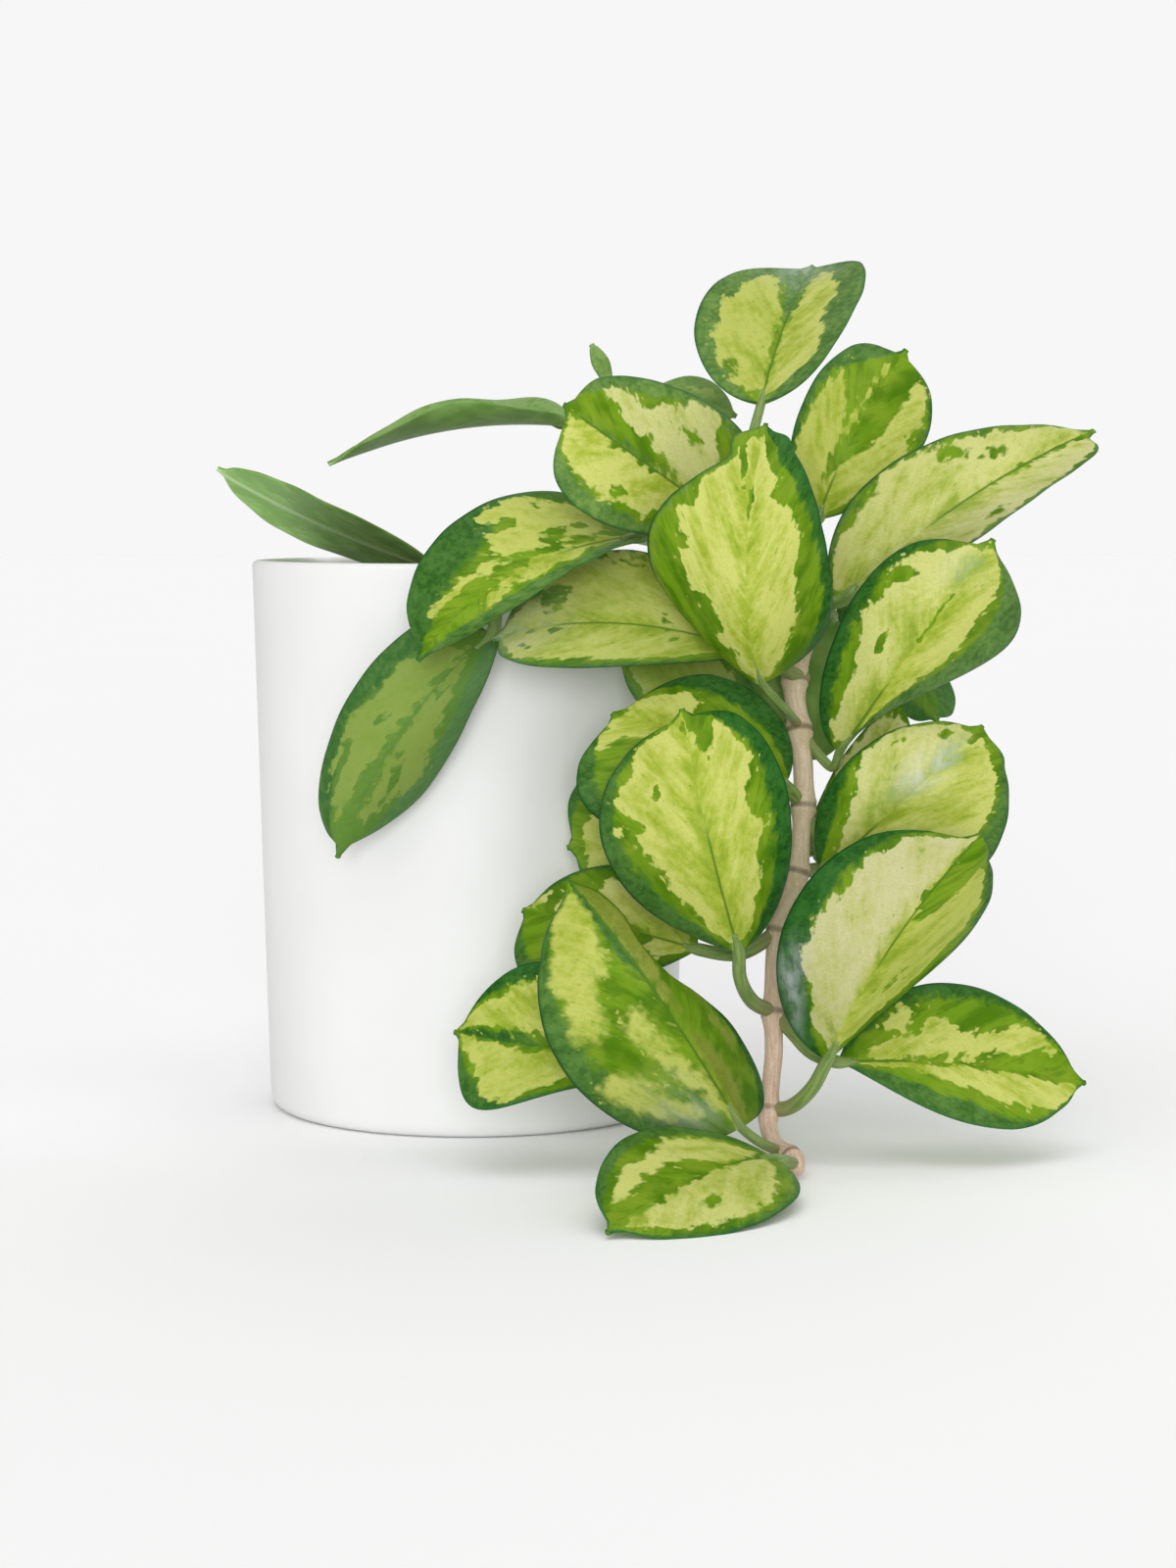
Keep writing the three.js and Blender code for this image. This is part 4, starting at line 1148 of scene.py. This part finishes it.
    # a duller tone in the shaded leaves, and a grey sheen
    dull = n.mix(dark, (92, 132, 54), n.mix(haze, (54, 104, 42), (90, 132, 80)))
    dull = n.coats(n.mix(cream, dull, (120, 148, 64)), ((112, 146, 78), mottle, 0.4, 0.7, 0.4))
    colour = n.mix(n.value("olive") * 0.85, colour, dull)
    sheen = n.value("sheen") * n.step(wisp, 0.36, 0.62, 0.25, 1.1)
    colour = n.mix(sheen, colour, (206, 210, 212))

    # the leaves without cream, their undersides, lightened partly as painted light, and painted
    # shadow
    green_leaf = n.coats((100, 138, 62), ((128, 160, 86), mottle, 0.36, 0.64),
                         ((142, 170, 106), cloud, 0.4, 0.6, 0.5))
    # plain undersides: paler than the tops as real hoya leaves are, and lightened further as
    # painted light
    lit_green_under = n.coats((128, 178, 86), ((154, 202, 112), cloud, 0.36, 0.62),
                          ((132, 172, 92), wisp, 0.42, 0.62, 0.5))
    lit_green_under = n.mix(n.step(beside, 0.6, 2.4, 0.6, 0.0), lit_green_under, (206, 232, 178))
    colour = n.mix(green, colour, n.mix(under, green_leaf, lit_green_under))
    below = n.coats((98, 136, 62), ((124, 154, 84), cloud, 0.35, 0.65))
    below = n.mix(cream * 0.25, below, (160, 174, 104))
    colour = n.mix(under * n.step(green, 0.0, 0.8, 0.9, 0.0), colour, below)
    colour = n.mix(n.value("shade"), colour, (10, 22, 4))

    skin = n.bump(n.noise(place, 2.6, 3.0, 0.6), 0.12, 0.00025)
    skin = n.bump(streak, 0.2, 0.0004, skin)
    rough = n.step(grain * 0.6 + cloud * 0.4, 0.3, 0.7, 0.36, 0.54)
    return n.finish(Base_Color=colour, Roughness=rough, Normal=skin, IOR=1.38,
                    Specular_IOR_Level=0.12)


def stalk_material():
    n = Nodes("hoya_leaf_stalk")
    place = n.vector("place")
    streak = n.noise(n.scale(place, (0.25, 1.6, 1.0)), 1.4, 4.0, 0.6)
    speck = n.noise(place, 3.0, 2.0, 0.6)
    colour = n.coats((92, 126, 50), ((134, 156, 84), streak, 0.3, 0.7),
                     ((160, 148, 104), speck, 0.62, 0.72, 0.5))
    woody = n.step(n.split(place)[0] + speck * 2.0, 1.0, 6.0, 0.75, 0.0)
    colour = n.mix(woody, colour, (134, 118, 82))
    return n.finish(Base_Color=colour, Roughness=n.step(speck, 0.3, 0.7, 0.42, 0.6),
                    Normal=n.bump(streak, 0.35, 0.0003))


def bark_material():
    n = Nodes("woody_vine_bark")
    place = n.vector("place")
    grain = n.noise(n.scale(place, (0.18, 1.3, 1.3)), 1.1, 5.0, 0.65)
    patch = n.noise(n.scale(place, (0.3, 0.5, 0.5)), 0.35, 3.0, 0.5)
    speck = n.noise(n.scale(place, (1.0, 0.7, 0.7)), 2.2, 2.0, 0.5)
    old = n.coats((188, 168, 138), ((212, 194, 166), grain, 0.3, 0.7),
                  ((184, 170, 128), patch, 0.45, 0.68, 0.55),
                  ((232, 220, 196), speck, 0.6, 0.7, 0.6))
    young = n.coats((192, 160, 138), ((218, 196, 174), grain, 0.3, 0.7),
                    ((168, 112, 92), speck, 0.6, 0.7, 0.5))
    colour = n.coats(old, (young, n.value("share"), 0.72, 0.9))
    joint = n.step(n.value("node"), 0.2, 1.3, 1.0, 0.0) * n.step(patch, 0.3, 0.6, 0.5, 1.0)
    colour = n.mix(joint * 0.75, colour, (92, 80, 52))
    return n.finish(Base_Color=colour, Roughness=n.step(grain, 0.3, 0.7, 0.86, 0.62),
                    Normal=n.bump(grain * 0.7 + speck * 0.3, 0.25, 0.0004))


def ceramic_material():
    n = Nodes("white_ceramic_glaze")
    place = n.object_place()
    cloud = n.noise(place, 18.0, 3.0, 0.5)
    rings = n.noise(n.scale(place, (6.0, 6.0, 240.0)), 1.0, 2.0, 0.5)
    pore = n.noise(place, 900.0, 2.0, 0.5)
    colour = n.coats((229, 229, 228), ((234, 234, 233), cloud, 0.3, 0.7),
                     ((226, 223, 218), pore, 0.7, 0.78, 0.35))
    skin = n.bump(pore, 0.05, 0.0002, n.bump(rings, 0.05, 0.0004))
    return n.finish(Base_Color=colour, Roughness=n.step(cloud, 0.3, 0.7, 0.42, 0.52), Normal=skin)


def soil_material(name, dark, light, rough=0.95):
    n = Nodes(name)
    place = n.object_place()
    cloud = n.noise(place, 160.0, 4.0, 0.6)
    fine = n.noise(place, 1400.0, 4.0, 0.7)
    colour = n.coats(dark, (light, cloud, 0.3, 0.7), (light, fine, 0.58, 0.7, 0.7))
    return n.finish(Base_Color=colour, Roughness=n.step(fine, 0.3, 0.7, rough, rough - 0.15),
                    Normal=n.bump(fine, 0.9, 0.0012))


def floor_material():
    n = Nodes("pale_floor")
    cloud = n.noise(n.object_place(), 3.0, 2.0, 0.5)
    grey = cloud * 0.01 + 0.975
    return n.finish(Base_Color=grey, Roughness=0.9, Specular_IOR_Level=0.0)


# ================================================================ camera, light and floor
def add_camera():
    data = bpy.data.cameras.new("camera")
    data.lens = LENS
    data.sensor_width = SENSOR
    data.sensor_fit = "AUTO"
    data.clip_start = 0.01
    data.clip_end = 50
    camera = bpy.data.objects.new("camera", data)
    camera.location = [c * MM for c in CAMERA_PLACE]
    camera.rotation_euler = (math.radians(90 - CAMERA_TILT), 0, 0)
    bpy.context.scene.collection.objects.link(camera)
    bpy.context.scene.camera = camera


def sun(name, place, power, spread):
    """A soft light from a place seen from the pot, so that its strength is the same everywhere."""
    data = bpy.data.lights.new(name, "SUN")
    data.energy = power
    data.angle = math.radians(spread)
    light = bpy.data.objects.new(name, data)
    light.rotation_euler = (-Vector(place)).to_track_quat("-Z", "Y").to_euler()
    bpy.context.scene.collection.objects.link(light)


def add_world():
    """An even sky, which the camera sees as bright as the floor's far end."""
    world = bpy.data.worlds.new("studio")
    bpy.context.scene.world = world
    world.use_nodes = True
    tree = world.node_tree
    shade = tree.nodes["Background"]
    shade.inputs["Color"].default_value = (1, 1, 1, 1)
    shade.inputs["Strength"].default_value = SKY
    seen = tree.nodes.new("ShaderNodeBackground")
    seen.inputs["Color"].default_value = (BACKDROP, BACKDROP, BACKDROP, 1)
    path = tree.nodes.new("ShaderNodeLightPath")
    mix = tree.nodes.new("ShaderNodeMixShader")
    tree.links.new(path.outputs["Is Camera Ray"], mix.inputs[0])
    tree.links.new(shade.outputs[0], mix.inputs[1])
    tree.links.new(seen.outputs[0], mix.inputs[2])
    tree.links.new(mix.outputs[0], tree.nodes["World Output"].inputs[0])


def add_floor():
    a, b = -FLOOR_REACH, FLOOR_REACH
    corners = [(a, a, 0), (b, a, 0), (b, b, 0), (a, b, 0)]
    floor = add_mesh("floor", corners, [(0, 1, 2, 3)], [floor_material()])


# ================================================================ the scene
add_camera()
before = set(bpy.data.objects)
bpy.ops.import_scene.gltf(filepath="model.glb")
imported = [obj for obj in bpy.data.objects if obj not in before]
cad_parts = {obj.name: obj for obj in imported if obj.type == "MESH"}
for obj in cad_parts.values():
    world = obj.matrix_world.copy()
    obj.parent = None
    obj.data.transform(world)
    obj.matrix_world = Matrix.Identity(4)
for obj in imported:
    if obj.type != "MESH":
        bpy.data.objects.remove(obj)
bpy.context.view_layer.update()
bpy.context.scene.view_settings.view_transform = "Standard"

leaf_skin = leaf_material()
stalk_skin = stalk_material()
bark = bark_material()

for number, (name, leaf) in enumerate(LEAVES.items()):
    made = build_leaf(name + "_blade", leaf, number + 1, [leaf_skin, stalk_skin])
    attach(made, "root")
    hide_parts(name)

for name, stem in STEMS.items():
    young = YOUNG_LEAF if name == "upright_stem" else None
    made = build_stem(name + "_bark", stem, [bark, leaf_skin], young)
    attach(made, "root")
    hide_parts(name)

pot = build_pot(ceramic_material())
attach(pot, "root")
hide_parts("pot")

soil = build_soil([
    soil_material("potting_soil", (42, 30, 22), (84, 64, 46)),
    soil_material("perlite", (190, 184, 172), (232, 228, 220), 0.85),
    soil_material("bark_chip", (78, 50, 30), (132, 92, 58)),
])
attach(soil, "root")
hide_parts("soil")

add_floor()
add_world()
for name, (place, power, spread) in SUNS.items():
    sun(name, place, power, spread)
